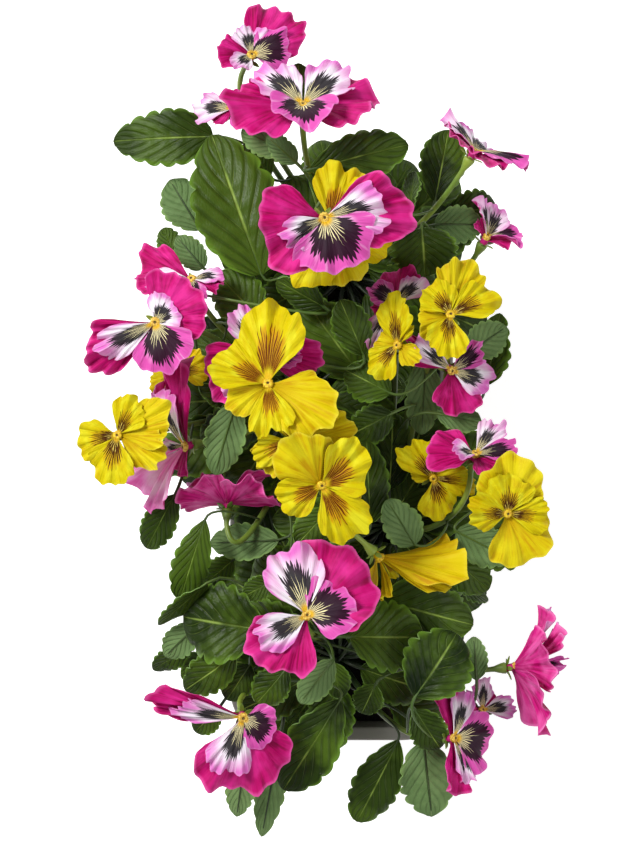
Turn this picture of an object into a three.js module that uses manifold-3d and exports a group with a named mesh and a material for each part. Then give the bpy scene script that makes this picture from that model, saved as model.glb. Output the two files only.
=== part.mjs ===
// Potted pansy planter: four bushes of artificial pansies standing in one long trough.
// Millimetres, +Z up. The origin is on the floor under the middle of the trough, whose length
// runs along Y.
import * as THREE from "three";
import Module from "manifold-3d";

const wasm = await Module();
wasm.setup();
const { Manifold, Mesh: SolidMesh } = wasm;

// Driving dimensions.
const GAP = 0.32;
const TROUGH_LENGTH = 360;
const TROUGH_WIDTH = 145;
const TROUGH_HEIGHT = 125;
const RIM_WIDTH = 9;
const RIM_DEPTH = 13;
const RIM_WALL = 2.4;
const WALL = 2.5;
const FLOOR_TOP = 6;
const FOOT_LENGTH = 318;
const FOOT_WIDTH = 108;
const FOOT_CHAMFER = 3;
const CORNER_RADIUS = 33;
const CORNER_STEPS = 4;
const SOIL_EDGE_HEIGHT = 112;
const SOIL_MOUND = 5;
const CROWN_RADIUS = 8;
const CROWN_FOOT = 52;
const CROWN_TOP = 124;
const STEM_RING = 5.3;
const STEM_SIDES = 4;
const STEM_FOOT_RADIUS = 2.1;
const STEM_NECK_RADIUS = 1.6;
const CALYX_RADIUS = 3.6;
const CALYX_LENGTH = 10;
const STALK_HALF_WIDTH = 1.1;
const STALK_HALF_DEPTH = 0.8;
const STALK_TAPER = 0.35;
const PETAL_THICKNESS = 0.8;
const LEAF_THICKNESS = 0.8;
const HUB_BACK = -4.2;
const HUB_FRONT = 2.2;
const HUB_RADIUS = 2.6;
const CLAW_SPREAD = 45;
const CLAW_SHARE = 0.75;
const CLAW_MARGIN = 12;
const WIDEST_GAP = 130;

// The planter is seen from an eye straight above it. Places of blooms and leaves are given as
// the eye sees them on the plane z = SIGHT_HEIGHT, and are brought to their own height from there.
const EYE = new THREE.Vector3(-14, 24, 1500);
const SIGHT_HEIGHT = 230;

// The crown of each bush: name, x, y.
const BUSHES = [
  ["far", 2, 120],
  ["left", -26, 42],
  ["right", 28, -38],
  ["near", -2, -122],
];

// One row a bloom: name, bush, kind, x, y, height, tilt from level and way it tilts. Then come its
// lip, two side petals and two back petals: the way of each, its length, half the angle it
// spreads over and how far it closes up.
const BLOOMS = [
  ["m01", "far", "magenta", -41.4, 222.3, 240, 30, 50,
    [19, 22.5, 60, 0], [98, 20.5, 46, 0], [-135, 15, 42, 0], [49, 38, 48, 0], [172, 19.5, 62, 0]],
  ["m02", "far", "magenta", -10.2, 192.3, 262, 40, 90,
    [-93, 30, 84, 0], [135, 34.5, 42, 0], [47, 38.5, 38, 0], [-171, 42, 52, 0], [4, 41.5, 44, 0]],
  ["m03", "far", "magenta", -52.2, 191.1, 235, 30, 150,
    [-38, 18, 45, 0], [38, 10.5, 40, 0], [174, 25, 34, 0], [200, 14, 50, 0], [60, 12, 50, 0]],
  ["m04", "far", "magenta", 2.4, 125.1, 292, 12, 20,
    [-64, 35, 70, 0], [12, 37.5, 32, 0], [-146, 27.5, 32, 0], [9, 48, 40, 0], [-165, 42, 56, 0]],
  ["m05", "far", "magenta", 92.4, 164.7, 238, 69, 58,
    [-33, 31, 50, 12], [150, 28, 46, 16], [58, 23, 50, 12], [-172, 27, 66, 9], [-68, 27, 66, 7]],
  ["m06", "far", "magenta", 99.6, 113.1, 205, 62, 60,
    [-22, 22, 44, 26], [144, 23, 40, 42], [62, 22, 60, 32], [112, 14, 60, 24], [0, 15, 60, 18]],
  ["m07", "left", "magenta", -98.4, 62.7, 262, 15, 200,
    [-68, 32.5, 56, 0], [44, 18.5, 66, 0], [-153, 36, 24, 0], [39, 35, 62, 0], [-155, 47, 28, 0]],
  ["m08", "left", "magenta", -76.8, 87.9, 238, 35, 110,
    [-82, 22, 40, 0], [0, 19, 30, 0], [-176, 27, 30, 0], [-11, 21.5, 30, 0], [161, 38, 38, 0]],
  ["m09", "left", "magenta", -37.2, 45.9, 258, 10, 270,
    [-9, 26.5, 28, 0], [121, 27.5, 28, 0], [-112, 34, 30, 0], [-9, 36.5, 32, 0], [-145, 37, 46, 0]],
  ["m10", "left", "magenta", -80.4, -11.7, 225, 64, 190,
    [-128, 45, 42, 28], [106, 40, 26, 6], [-172, 16, 40, 30], [94, 53, 28, -4], [-124, 22, 50, 12]],
  ["m11", "left", "magenta", -55.8, -45.9, 203, 116, 90,
    [60, 30, 44, 18], [-5, 31, 44, 30], [186, 26, 46, 32], [-34, 36, 62, -2], [208, 33, 62, 2]],
  ["m12", "right", "magenta", 45.6, 73.5, 230, 30, 95,
    [150, 18.5, 50, 0], [43, 22.5, 34, 0], [-118, 34, 20, 0], [76, 26.5, 44, 0], [-160, 15, 45, 0]],
  ["m13", "right", "magenta", 78.6, 33.9, 240, 30, -40,
    [46, 22.5, 38, 0], [-16, 25, 38, 0], [144, 37.5, 17, 0], [-73, 28.5, 56, 0], [149, 34, 22, 0]],
  ["m14", "right", "magenta", 93, -17.1, 245, 45, 80,
    [0, 25, 28, 0], [55, 28.5, 26, 0], [-157, 19.5, 46, 22], [169, 30.5, 56, 0], [-56, 18, 45, 0]],
  ["m15", "near", "magenta", -7.8, -113.4, 270, 15, 80,
    [22, 27, 72, 0], [108, 39, 42, 0], [-148, 31.5, 32, 0], [45, 45, 66, 0], [-128, 41, 48, 0]],
  ["m16", "near", "magenta", -46.2, -174.3, 240, 18, -60,
    [-22, 21.5, 66, 0], [166, 42.5, 15, 0], [-112, 36.5, 32, 0], [165, 53.5, 17, 0], [-84, 48.5, 58, 0]],
  ["m17", "near", "magenta", 79.8, -186.9, 215, 48, 10,
    [-9, 29.5, 66, 0], [77, 31, 24, 0], [-72, 29, 30, 0], [83, 32.5, 40, 0], [-76, 31.5, 44, 0]],
  ["m18", "near", "magenta", 97.2, -170.1, 178, 25, 45,
    [-130, 12, 40, 0], [6, 20.5, 34, 0], [89, 18.5, 36, 0], [60, 14, 50, 0], [200, 12, 50, 0]],
  ["m19", "near", "magenta", 115.8, -144.3, 200, 98, 5,
    [5, 37, 50, 66], [112, 40, 42, 44], [84, 41, 20, 30], [164, 38, 64, 27], [-112, 43, 58, 12]],
  ["y01", "left", "yellow", -31.2, 25.5, 282, 18, 100,
    [85, 45, 40, 0], [153, 35.5, 40, 0], [-82, 34, 32, 0], [-31, 41.5, 46, 0], [200, 26, 45, 0]],
  ["y02", "right", "yellow", 0.6, -35.1, 290, 20, -30,
    [35, 31, 54, 0], [-59, 35, 40, 0], [-156, 27.5, 38, 0], [0, 26, 40, 0], [119, 33, 58, 0]],
  ["y03", "right", "yellow", -16.8, -8.1, 262, 15, -120,
    [-158, 22.5, 38, 0], [100, 24, 40, 0], [-70, 24, 40, 0], [16, 37, 36, 0], [-134, 26, 42, 0]],
  ["y04", "left", "yellow", -121.2, -5.1, 245, 15, 180,
    [-101, 28.5, 48, 0], [-173, 24, 44, 0], [56, 25, 40, 0], [16, 35, 38, 0], [-23, 30.5, 38, 0]],
  ["y05", "left", "yellow", -84, 32.7, 203, 10, 160,
    [-138, 21.5, 36, 0], [0, 20, 40, 0], [120, 20, 40, 0], [49, 16.5, 40, 0], [170, 20, 40, 0]],
  ["y06", "right", "yellow", 46.8, 48.9, 260, 27, 190,
    [-132, 22.5, 42, 0], [89, 27.5, 40, 0], [49, 15.5, 20, 0], [-40, 15, 45, 0], [170, 15, 45, 0]],
  ["y07", "right", "yellow", 78, 66.9, 265, 20, 60,
    [123, 21, 52, 0], [27, 29, 38, 0], [-105, 27.5, 42, 0], [74, 37, 34, 0], [-157, 21.5, 42, 0]],
  ["y08", "right", "yellow", 67.8, -30.9, 225, 15, -60,
    [-71, 24, 52, 0], [122, 28.5, 38, 0], [-5, 25, 34, 0], [43, 20, 44, 0], [160, 14, 42, 0]],
  ["y09", "right", "yellow", 112.2, -52.2, 255, 15, -20,
    [89, 25, 54, 0], [177, 26, 38, 0], [-5, 26, 34, 0], [81, 32, 66, 0], [-52, 32.5, 64, 0]],
  ["y10", "near", "yellow", 35.1, -78.3, 240, 112, -45,
    [-45, 22, 50, 55], [66, 44, 50, 48], [-158, 27, 40, 40], [52, 50, 60, 38], [-125, 31, 50, 26]],
  ["y11", "far", "yellow", 6, 120.9, 256, 6, 20,
    [-115, 41, 47, 0], [-20, 35, 43, 0], [72, 35, 43, 0], [40, 39, 54, 0], [-70, 39, 54, 0]],
];

// One row a leaf: bush, foot x, y, height, tip x, y, height, width, roll about its midrib
// (180 turns its pale back up) and how far the midrib arches.
const LEAVES = [
  ["far", -64, 174, 208, -124, 171, 198, 36, 0, 4],
  ["far", -35, 91, 230, -65, 175, 220, 54, 0, 6],
  ["far", -72, 118, 200, -90, 148, 195, 30, 180, 3],
  ["far", -20, 164, 224, -47, 178, 222, 20, 180, 2],
  ["far", -14, 158, 236, -32, 174, 236, 18, 215, 2],
  ["far", -30, 150, 198, -45, 170, 192, 22, 0, 2],
  ["far", -12, 190, 212, -13, 218, 222, 21, 0, 2],
  ["far", -6, 154, 248, 53, 169, 246, 30, 0, 4],
  ["far", 0, 135, 222, 22, 165, 220, 34, 0, 3],
  ["far", 69, 135, 215, 77, 178, 210, 29, 0, 3],
  ["far", 61, 119, 222, 63, 90, 214, 42, 0, 3],
  ["far", 69, 121, 208, 98, 121, 200, 24, 180, 3],
  ["far", 75, 128, 196, 106, 131, 188, 26, 0, 3],
  ["far", 54, 130, 234, 57, 153, 238, 20, 60, 2],
  ["left", 26, 43, 246, 12, 76, 250, 24, 0, 3],
  ["left", 24, 31, 225, -10, 76, 222, 38, 0, 4],
  ["right", 42, 20, 240, 15, 34, 238, 26, 0, 3],
  ["right", 43, 8, 228, 18, -5, 224, 26, 20, 3],
  ["right", 63, 42, 213, 61, -5, 205, 23, 180, 3],
  ["right", 90, 45, 212, 112, 60, 208, 24, 180, 2],
  ["right", 100, 25, 198, 108, 68, 196, 26, 35, 3],
  ["right", 70, 8, 222, 97, 2, 220, 18, 180, 2],
  ["right", 57, -71, 235, 40, -44, 240, 24, 180, 3],
  ["right", 30, -58, 225, 28, -8, 225, 26, 0, 4],
  ["right", 82, -63, 228, 115, -80, 220, 26, 180, 3],
  ["right", 75, -75, 208, 101, -98, 198, 26, 0, 3],
  ["right", 78, -93, 192, 101, -104, 185, 20, 60, 2],
  ["near", 37, -104, 212, 92, -119, 208, 42, 0, 4],
  ["near", 18, -126, 225, 62, -126, 220, 44, 0, 4],
  ["near", 57, -162, 235, 82, -124, 232, 45, 0, 4],
  ["near", 94, -152, 208, 92, -126, 206, 16, 180, 2],
  ["near", 8, -142, 204, 12, -163, 200, 18, 0, 2],
  ["near", 33, -155, 206, 25, -172, 200, 20, 0, 2],
  ["near", 47, -188, 190, 22, -237, 174, 30, 0, 4],
  ["near", 62, -190, 201, 67, -234, 190, 36, 180, 4],
  ["near", 57, -170, 216, 72, -193, 210, 24, 0, 3],
  ["near", 12, -164, 215, -22, -218, 200, 36, 0, 4],
  ["near", -24, -187, 185, -35, -246, 165, 20, 180, 4],
  ["near", -45, -200, 190, -50, -234, 178, 20, 180, 3],
  ["near", -51, -137, 215, -81, -158, 205, 26, 0, 3],
  ["near", -60, -168, 191, -75, -183, 185, 18, 0, 2],
  ["near", -42, -143, 207, -56, -164, 205, 20, 0, 2],
  ["near", -20, -145, 216, -38, -166, 212, 24, 0, 2],
  ["near", 8, -140, 230, -12, -166, 228, 20, 180, 2],
  ["left", -87, -41, 205, -104, -73, 190, 22, 0, 3],
  ["left", -69, -56, 217, -84, -104, 202, 24, 0, 4],
  ["left", -52, -80, 192, -70, -95, 186, 18, 0, 2],
  ["near", -32, -122, 225, -82, -114, 212, 50, 0, 5],
  ["near", -68, -94, 222, -97, -119, 212, 20, 60, 3],
  ["near", -73, -118, 206, -93, -138, 199, 20, 180, 2],
  ["near", -78, -131, 184, -100, -146, 176, 18, 30, 2],
  ["near", -54, -131, 191, -83, -151, 183, 20, 0, 2],
  ["left", -25, -68, 201, -66, -70, 192, 24, 180, 3],
  ["right", 5, -50, 232, -14, -71, 230, 22, 0, 2],
  ["left", -28, -92, 214, -46, -102, 210, 16, 0, 2],
  ["left", -51, 13, 236, -63, -29, 226, 25, 180, 3],
  ["left", -36, 64, 226, -62, 92, 222, 32, 0, 3],
  ["left", 2, 72, 240, -26, 88, 240, 22, 35, 2],
  ["left", -70, 95, 208, -86, 114, 202, 18, 180, 2],
  ["left", -85, 98, 196, -94, 119, 190, 16, 0, 2],
];

// The low leaves that lean out over the rim: bush, way, how far out the tip lies, height.
const LOW_LEAVES = [
  ["far", 15, 78, 146],
  ["far", 60, 84, 160],
  ["far", 100, 90, 146],
  ["far", 140, 84, 160],
  ["left", 120, 80, 160],
  ["left", 165, 88, 148],
  ["left", 205, 84, 160],
  ["right", 45, 80, 160],
  ["right", 5, 84, 148],
  ["right", -40, 80, 160],
  ["near", 10, 82, 148],
  ["near", -35, 80, 160],
  ["near", -130, 82, 160],
  ["near", -165, 80, 148],
];
const LOW_LEAF_FOOT = 0.5;
const LOW_LEAF_DROP = 12;
const LOW_LEAF_WIDTH = 32;

const COLOURS = {
  trough: 0x6e6a69,
  soil: 0x1d1916,
  green: 0x2f6b2c,
  magenta: 0xc9378f,
  yellow: 0xf2d61e,
};

const UP = new THREE.Vector3(0, 0, 1);

function radians(degrees) {
  return (degrees * Math.PI) / 180;
}

function sighted(x, y, z) {
  const scale = (EYE.z - z) / (EYE.z - SIGHT_HEIGHT);
  return new THREE.Vector3(EYE.x + x * scale, EYE.y + y * scale, z);
}

// The same number for the same seed, spread over 0 to 1.
function scatter(seed) {
  const wave = Math.sin(seed * 12.9898) * 43758.5453;
  return wave - Math.floor(wave);
}

function solidOf(points, faces) {
  return new Manifold(
    new SolidMesh({
      numProp: 3,
      vertProperties: new Float32Array(points.flatMap((p) => [p.x, p.y, p.z])),
      triVerts: new Uint32Array(faces.flat()),
    }),
  );
}

// A thin sheet of even thickness on both sides of a surface, cut alike on its two faces.
// An edge of the surface that starts at one of the open points gets no side wall.
function sheetSkin(points, faces, thickness, open) {
  const normals = points.map(() => new THREE.Vector3());
  for (const [a, b, c] of faces) {
    const along = points[b].clone().sub(points[a]);
    const across = points[c].clone().sub(points[a]);
    const cross = along.cross(across);
    normals[a].add(cross);
    normals[b].add(cross);
    normals[c].add(cross);
  }
  normals.forEach((normal) => normal.normalize());
  const count = points.length;
  const top = points.map((p, i) => p.clone().addScaledVector(normals[i], thickness / 2));
  const under = points.map((p, i) => p.clone().addScaledVector(normals[i], -thickness / 2));
  const skin = [];
  const edges = new Map();
  for (const [a, b, c] of faces) {
    skin.push([a, b, c], [count + a, count + c, count + b]);
    for (const [from, to] of [[a, b], [b, c], [c, a]]) {
      edges.set(`${from} ${to}`, [from, to]);
    }
  }
  for (const [from, to] of edges.values()) {
    if (!edges.has(`${to} ${from}`) && !open.includes(from)) {
      skin.push([to, from, count + from], [to, count + from, count + to]);
    }
  }
  return { points: [...top, ...under], skin };
}

// A round bar along a row of points, with its own radius at each.
function barSolid(path, radii, sides) {
  const points = [];
  const faces = [];
  let side = new THREE.Vector3(1, 0, 0);
  path.forEach((centre, i) => {
    const before = path[Math.max(i - 1, 0)];
    const after = path[Math.min(i + 1, path.length - 1)];
    const along = after.clone().sub(before).normalize();
    side = side.clone().addScaledVector(along, -side.dot(along));
    if (side.length() < 0.1) {
      side = new THREE.Vector3(0, 1, 0).addScaledVector(along, -along.y);
    }
    side.normalize();
    const other = along.clone().cross(side);
    for (let k = 0; k < sides; k += 1) {
      const turn = (2 * Math.PI * k) / sides;
      points.push(
        centre.clone()
          .addScaledVector(side, Math.cos(turn) * radii[i])
          .addScaledVector(other, Math.sin(turn) * radii[i]),
      );
    }
  });
  for (let i = 0; i < path.length - 1; i += 1) {
    for (let k = 0; k < sides; k += 1) {
      const next = (k + 1) % sides;
      const low = i * sides;
      const high = low + sides;
      faces.push([low + k, low + next, high + next], [low + k, high + next, high + k]);
    }
  }
  const last = (path.length - 1) * sides;
  for (let k = 1; k < sides - 1; k += 1) {
    faces.push([0, k + 1, k], [last, last + k, last + k + 1]);
  }
  return solidOf(points, faces);
}

// A smooth curve from a start to an end, leaving and arriving along two given handles.
function curvePoints(start, startHandle, endHandle, end, pieces) {
  const curve = new THREE.CubicBezierCurve3(start, startHandle, endHandle, end);
  return curve.getPoints(pieces);
}

// A level outline with four rounded corners.
function outline(length, width, radius, z) {
  const points = [];
  const corners = [[1, 1, 0], [-1, 1, 90], [-1, -1, 180], [1, -1, 270]];
  for (const [sideX, sideY, start] of corners) {
    for (let k = 0; k <= CORNER_STEPS; k += 1) {
      const turn = radians(start + (90 * k) / CORNER_STEPS);
      points.push(new THREE.Vector3(
        sideX * (width / 2 - radius) + radius * Math.cos(turn),
        sideY * (length / 2 - radius) + radius * Math.sin(turn),
        z,
      ));
    }
  }
  return points;
}

// A solid skinned over outlines that follow one another from its underside round to its top.
function skinnedSolid(rings, startHeight, endHeight) {
  const size = rings[0].length;
  const points = rings.flat();
  const faces = [];
  for (let i = 0; i < rings.length - 1; i += 1) {
    for (let k = 0; k < size; k += 1) {
      const next = (k + 1) % size;
      const low = i * size;
      const high = low + size;
      faces.push([low + k, low + next, high + next], [low + k, high + next, high + k]);
    }
  }
  const start = points.length;
  points.push(new THREE.Vector3(0, 0, startHeight), new THREE.Vector3(0, 0, endHeight));
  const last = (rings.length - 1) * size;
  for (let k = 0; k < size; k += 1) {
    const next = (k + 1) % size;
    faces.push([start, next, k], [start + 1, last + k, last + next]);
  }
  return solidOf(points, faces);
}

// The inside of the trough at a height, less a clearance all round.
const INSIDE_LENGTH = TROUGH_LENGTH - 2 * RIM_WIDTH;
const INSIDE_WIDTH = TROUGH_WIDTH - 2 * RIM_WIDTH;
const INSIDE_FLOOR_LENGTH = FOOT_LENGTH - 2 * WALL + 1.2;
const INSIDE_FLOOR_WIDTH = FOOT_WIDTH - 2 * WALL + 1.2;

function insideOutline(z, clearance) {
  const share = (z - FLOOR_TOP) / (TROUGH_HEIGHT - FLOOR_TOP);
  const length = INSIDE_FLOOR_LENGTH + (INSIDE_LENGTH - INSIDE_FLOOR_LENGTH) * share;
  const width = INSIDE_FLOOR_WIDTH + (INSIDE_WIDTH - INSIDE_FLOOR_WIDTH) * share;
  const radius = 18 + 6 * share;
  return outline(length - 2 * clearance, width - 2 * clearance, radius - clearance, z);
}

// The trough: flat foot, tapered wall, and a flat rim with a skirt that turns down outside it.
function troughSolid() {
  const bodyLength = INSIDE_LENGTH + 2 * WALL;
  const bodyWidth = INSIDE_WIDTH + 2 * WALL;
  const skirtLength = TROUGH_LENGTH - 2 * RIM_WALL;
  const skirtWidth = TROUGH_WIDTH - 2 * RIM_WALL;
  const underRim = TROUGH_HEIGHT - RIM_WALL;
  const skirtFoot = TROUGH_HEIGHT - RIM_DEPTH;
  const rings = [
    outline(FOOT_LENGTH - 2 * FOOT_CHAMFER, FOOT_WIDTH - 2 * FOOT_CHAMFER, 18, 0),
    outline(FOOT_LENGTH, FOOT_WIDTH, 21, FOOT_CHAMFER),
    outline(bodyLength, bodyWidth, 26.5, underRim),
    outline(skirtLength, skirtWidth, CORNER_RADIUS - RIM_WALL, underRim),
    outline(skirtLength, skirtWidth, CORNER_RADIUS - RIM_WALL, skirtFoot),
    outline(TROUGH_LENGTH, TROUGH_WIDTH, CORNER_RADIUS, skirtFoot),
    outline(TROUGH_LENGTH, TROUGH_WIDTH, CORNER_RADIUS, TROUGH_HEIGHT - 1.5),
    outline(TROUGH_LENGTH - 3, TROUGH_WIDTH - 3, CORNER_RADIUS - 1.5, TROUGH_HEIGHT),
    outline(INSIDE_LENGTH + 3, INSIDE_WIDTH + 3, 25.5, TROUGH_HEIGHT),
    insideOutline(TROUGH_HEIGHT - 1.5, 0),
    insideOutline(FLOOR_TOP, 0),
  ];
  return skinnedSolid(rings, 0, FLOOR_TOP);
}

// The planting mix fills the trough and has a plain hole for the crown of each bush.
function soilSolid() {
  const rings = [
    insideOutline(FLOOR_TOP + GAP, GAP + 0.1),
    insideOutline(SOIL_EDGE_HEIGHT, GAP + 0.1),
    outline(290, 86, 18, SOIL_EDGE_HEIGHT + 0.7 * SOIL_MOUND),
  ];
  let soil = skinnedSolid(rings, FLOOR_TOP + GAP, SOIL_EDGE_HEIGHT + SOIL_MOUND);
  for (const [, x, y] of BUSHES) {
    const hole = barSolid(
      [new THREE.Vector3(x, y, CROWN_FOOT - GAP), new THREE.Vector3(x, y, TROUGH_HEIGHT)],
      [CROWN_RADIUS + GAP + 0.1, CROWN_RADIUS + GAP + 0.1],
      8,
    );
    soil = soil.subtract(hole);
  }
  return soil;
}

// How the petals of a bloom are pressed, in the order of the table: the layer each lies in, how
// it dishes forward and how its edge turns back.
const PETAL_FORMS = [
  [0.8, 0.45, 0.3],
  [0, 0.45, 0.3],
  [0, 0.45, 0.3],
  [-2.2, 0.25, 0.2],
  [-2.2, 0.25, 0.2],
];
const SHEET_CUT = 3;

function turned(degrees) {
  return ((degrees % 360) + 360) % 360;
}

// Petals of one sheet stay clear of each other: where two would overlap, both give way.
function keepApart(petals) {
  const around = [...petals].sort((one, other) => turned(one.way) - turned(other.way));
  around.forEach((petal, k) => {
    const next = around[(k + 1) % around.length];
    const room = turned(next.way - petal.way) - SHEET_CUT;
    const share = Math.min(1, room / (petal.spread + next.spread));
    petal.after = petal.spread * share;
    next.before = next.spread * share;
  });
}

function readBloom([name, bush, kind, x, y, z, tilt, way, ...rows], index) {
  const axis = new THREE.Vector3(-Math.sin(radians(way)), Math.cos(radians(way)), 0);
  const turn = new THREE.Quaternion().setFromAxisAngle(axis, radians(tilt));
  const petals = rows.map(([ownWay, length, spread, lift], order) => ({
    way: ownWay,
    length,
    spread,
    lift: radians(lift),
    form: PETAL_FORMS[order],
    seed: 5 * index + order,
  }));
  keepApart(petals.slice(0, 3));
  keepApart(petals.slice(3));
  const face = UP.clone().applyQuaternion(turn);
  const centre = sighted(x, y, z);
  return { name, bush, kind, index, petals, turn, face, centre };
}

function fromFace(bloom, x, y, z) {
  return new THREE.Vector3(x, y, z).applyQuaternion(bloom.turn).add(bloom.centre);
}

// A place on a petal: u runs from the middle of the bloom to the petal's edge, v across it.
function petalPoint(bloom, petal, u, v, grow) {
  const [layer, dish, turnBack] = petal.form;
  const { length, lift, seed } = petal;
  const edge = 0.5 + 0.5 * Math.cos((Math.PI * v) / 2) ** 0.4;
  const lean = 1 + 0.08 * Math.sin(2.6 * v + 6.28 * scatter(seed + 0.5));
  const reach = u * (length * edge * lean + grow);
  const part = reach / length;
  const spread = (v < 0 ? petal.before : petal.after) * (0.5 + 0.5 * u ** 0.7);
  const angle = radians(petal.way + spread * v) + (v * grow) / reach;
  const ruffle = 0.07 * length * part ** 3 * Math.sin(6 * v + 6.28 * scatter(seed));
  const height = length * (dish * part - turnBack * part * part) + ruffle;
  const out = reach * Math.cos(lift) - height * Math.sin(lift);
  const up = reach * Math.sin(lift) + height * Math.cos(lift) + layer;
  return fromFace(bloom, out * Math.cos(angle), out * Math.sin(angle), up);
}

// A place on the side of the hub.
function hubPoint(bloom, angle, height, grow) {
  const radius = HUB_RADIUS + grow;
  const turn = radians(angle);
  return fromFace(bloom, radius * Math.cos(turn), radius * Math.sin(turn), height);
}

// One cut piece of fabric: the three front petals, or the two back ones. Its hole is a ring with
// two points for the foot of each petal and one where two petals stand far apart, and is closed
// by the hub.
function petalSheet(bloom, petals, grow) {
  const points = [];
  const feet = [];
  const faces = [];
  const open = [];
  for (const petal of petals) {
    const first = points.length;
    for (const side of [-1, 1]) {
      const half = Math.min(CLAW_SPREAD, CLAW_SHARE * (side < 0 ? petal.before : petal.after));
      const angle = turned(petal.way + side * (half + CLAW_MARGIN * grow) + 180) - 180;
      feet.push({ place: points.length, angle, opens: side < 0 });
      points.push(hubPoint(bloom, angle, petal.form[0], grow));
    }
    for (const v of [-1, 1]) {
      points.push(petalPoint(bloom, petal, 0.5, v, grow));
    }
    for (const v of [-1, -0.62, 0, 0.62, 1]) {
      points.push(petalPoint(bloom, petal, 1, v, grow));
    }
    const pattern = [
      [0, 2, 3], [0, 3, 1], [2, 4, 5], [2, 5, 6], [2, 6, 3], [3, 6, 7], [3, 7, 8],
    ];
    faces.push(...pattern.map((face) => face.map((place) => first + place)));
    open.push(first + 1);
  }
  const thickness = PETAL_THICKNESS + 2 * grow;
  const sheet = sheetSkin(points, faces, thickness, open);
  const inOrder = (one, other) => one.angle - other.angle;
  const ring = feet.map(({ place, angle, opens }) => ({
    angle,
    opens,
    top: place,
    under: points.length + place,
  })).sort(inOrder);
  const fillers = [];
  ring.forEach((foot, k) => {
    const gap = turned(ring[(k + 1) % ring.length].angle - foot.angle);
    if (gap + 2 * CLAW_MARGIN * grow > WIDEST_GAP) {
      const angle = turned(foot.angle + gap / 2 + 180) - 180;
      const top = sheet.points.length;
      const layer = petals[1].form[0];
      sheet.points.push(
        hubPoint(bloom, angle, layer + thickness / 2, grow),
        hubPoint(bloom, angle, layer - thickness / 2, grow),
      );
      fillers.push({ angle, opens: false, top, under: top + 1 });
    }
  });
  return { ...sheet, ring: [...ring, ...fillers].sort(inOrder) };
}

// The wall between two rings of points, each in order of its angle, the first ring above.
function ringWall(upper, lower) {
  const faces = [];
  const angleAt = (ring, step) => ring[step % ring.length].angle + (step >= ring.length ? 360 : 0);
  let i = 0;
  let j = 0;
  while (i < upper.length || j < lower.length) {
    const above = upper[i % upper.length].place;
    const below = lower[j % lower.length].place;
    const upperNext = i < upper.length ? angleAt(upper, i + 1) : Infinity;
    const lowerNext = j < lower.length ? angleAt(lower, j + 1) : Infinity;
    if (upperNext < lowerNext) {
      faces.push([above, below, upper[(i + 1) % upper.length].place]);
      i += 1;
    } else {
      faces.push([above, below, lower[(j + 1) % lower.length].place]);
      j += 1;
    }
  }
  return faces;
}

// Two layers of fabric on a hub, which closes in front with a low dome.
function bloomSolid(bloom, grow) {
  const front = petalSheet(bloom, bloom.petals.slice(0, 3), grow);
  const back = petalSheet(bloom, bloom.petals.slice(3), grow);
  const foot = back.ring.map(({ angle }) => hubPoint(bloom, angle, HUB_BACK - grow, grow));
  const backStart = front.points.length;
  const footStart = backStart + back.points.length;
  const dome = footStart + foot.length;
  const points = [
    ...front.points,
    ...back.points,
    ...foot,
    fromFace(bloom, 0, 0, HUB_FRONT + grow),
    fromFace(bloom, 0, 0, HUB_BACK - grow),
  ];
  const placed = (ring, layer, by) => ring.map(({ angle, opens, [layer]: place }) => ({
    angle,
    opens,
    place: place + by,
  }));
  const rings = [
    placed(front.ring, "top", 0),
    placed(front.ring, "under", 0),
    placed(back.ring, "top", backStart),
    placed(back.ring, "under", backStart),
    back.ring.map(({ angle, opens }, k) => ({ angle, opens, place: footStart + k })),
  ];
  const faces = [
    ...front.skin,
    ...back.skin.map((face) => face.map((place) => place + backStart)),
    ...ringWall(rings[1], rings[2]),
    ...ringWall(rings[3], rings[4]),
  ];
  const after = (ring, k) => ring[(k + 1) % ring.length].place;
  for (const [top, under] of [[rings[0], rings[1]], [rings[2], rings[3]]]) {
    top.forEach((point, k) => {
      if (!point.opens) {
        faces.push([point.place, under[k].place, after(under, k)]);
        faces.push([point.place, after(under, k), after(top, k)]);
      }
    });
  }
  rings[0].forEach((point, k) => faces.push([dome, point.place, after(rings[0], k)]));
  rings[4].forEach((point, k) => faces.push([dome + 1, after(rings[4], k), point.place]));
  return solidOf(points, faces);
}

// The stem of a bloom leaves the crown, bends over and ends in the flared calyx behind the hub.
function stemPath(bloom, crown, bend) {
  const neck = fromFace(bloom, 0, 0, HUB_BACK - GAP - CALYX_LENGTH);
  const place = radians(bloom.place);
  const start = new THREE.Vector3(
    crown.x + STEM_RING * Math.cos(place),
    crown.y + STEM_RING * Math.sin(place),
    CROWN_TOP - 4,
  );
  const span = neck.distanceTo(start);
  const outward = new THREE.Vector3(neck.x - start.x, neck.y - start.y, 0);
  const across = new THREE.Vector3(-outward.y, outward.x, 0).normalize();
  const startHandle = start.clone()
    .addScaledVector(UP, 0.35 * span + bend.rise)
    .addScaledVector(outward, 0.12)
    .addScaledVector(across, bend.side);
  const endHandle = neck.clone()
    .addScaledVector(bloom.face, -0.35 * span)
    .addScaledVector(across, bend.side)
    .addScaledVector(UP, bend.rise);
  return curvePoints(start, startHandle, endHandle, neck, 5);
}

function stemSolid(bloom, path, grow) {
  const radii = path.map((point, i) => {
    const share = i / (path.length - 1);
    return STEM_FOOT_RADIUS + (STEM_NECK_RADIUS - STEM_FOOT_RADIUS) * share + grow;
  });
  const calyxTop = grow > 0 ? HUB_BACK - GAP + grow : HUB_BACK - GAP;
  const full = [
    ...path,
    fromFace(bloom, 0, 0, HUB_BACK - GAP - 0.45 * CALYX_LENGTH),
    fromFace(bloom, 0, 0, calyxTop),
  ];
  radii.push(0.75 * CALYX_RADIUS + grow, CALYX_RADIUS + grow);
  return barSolid(full, radii, STEM_SIDES);
}

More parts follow.
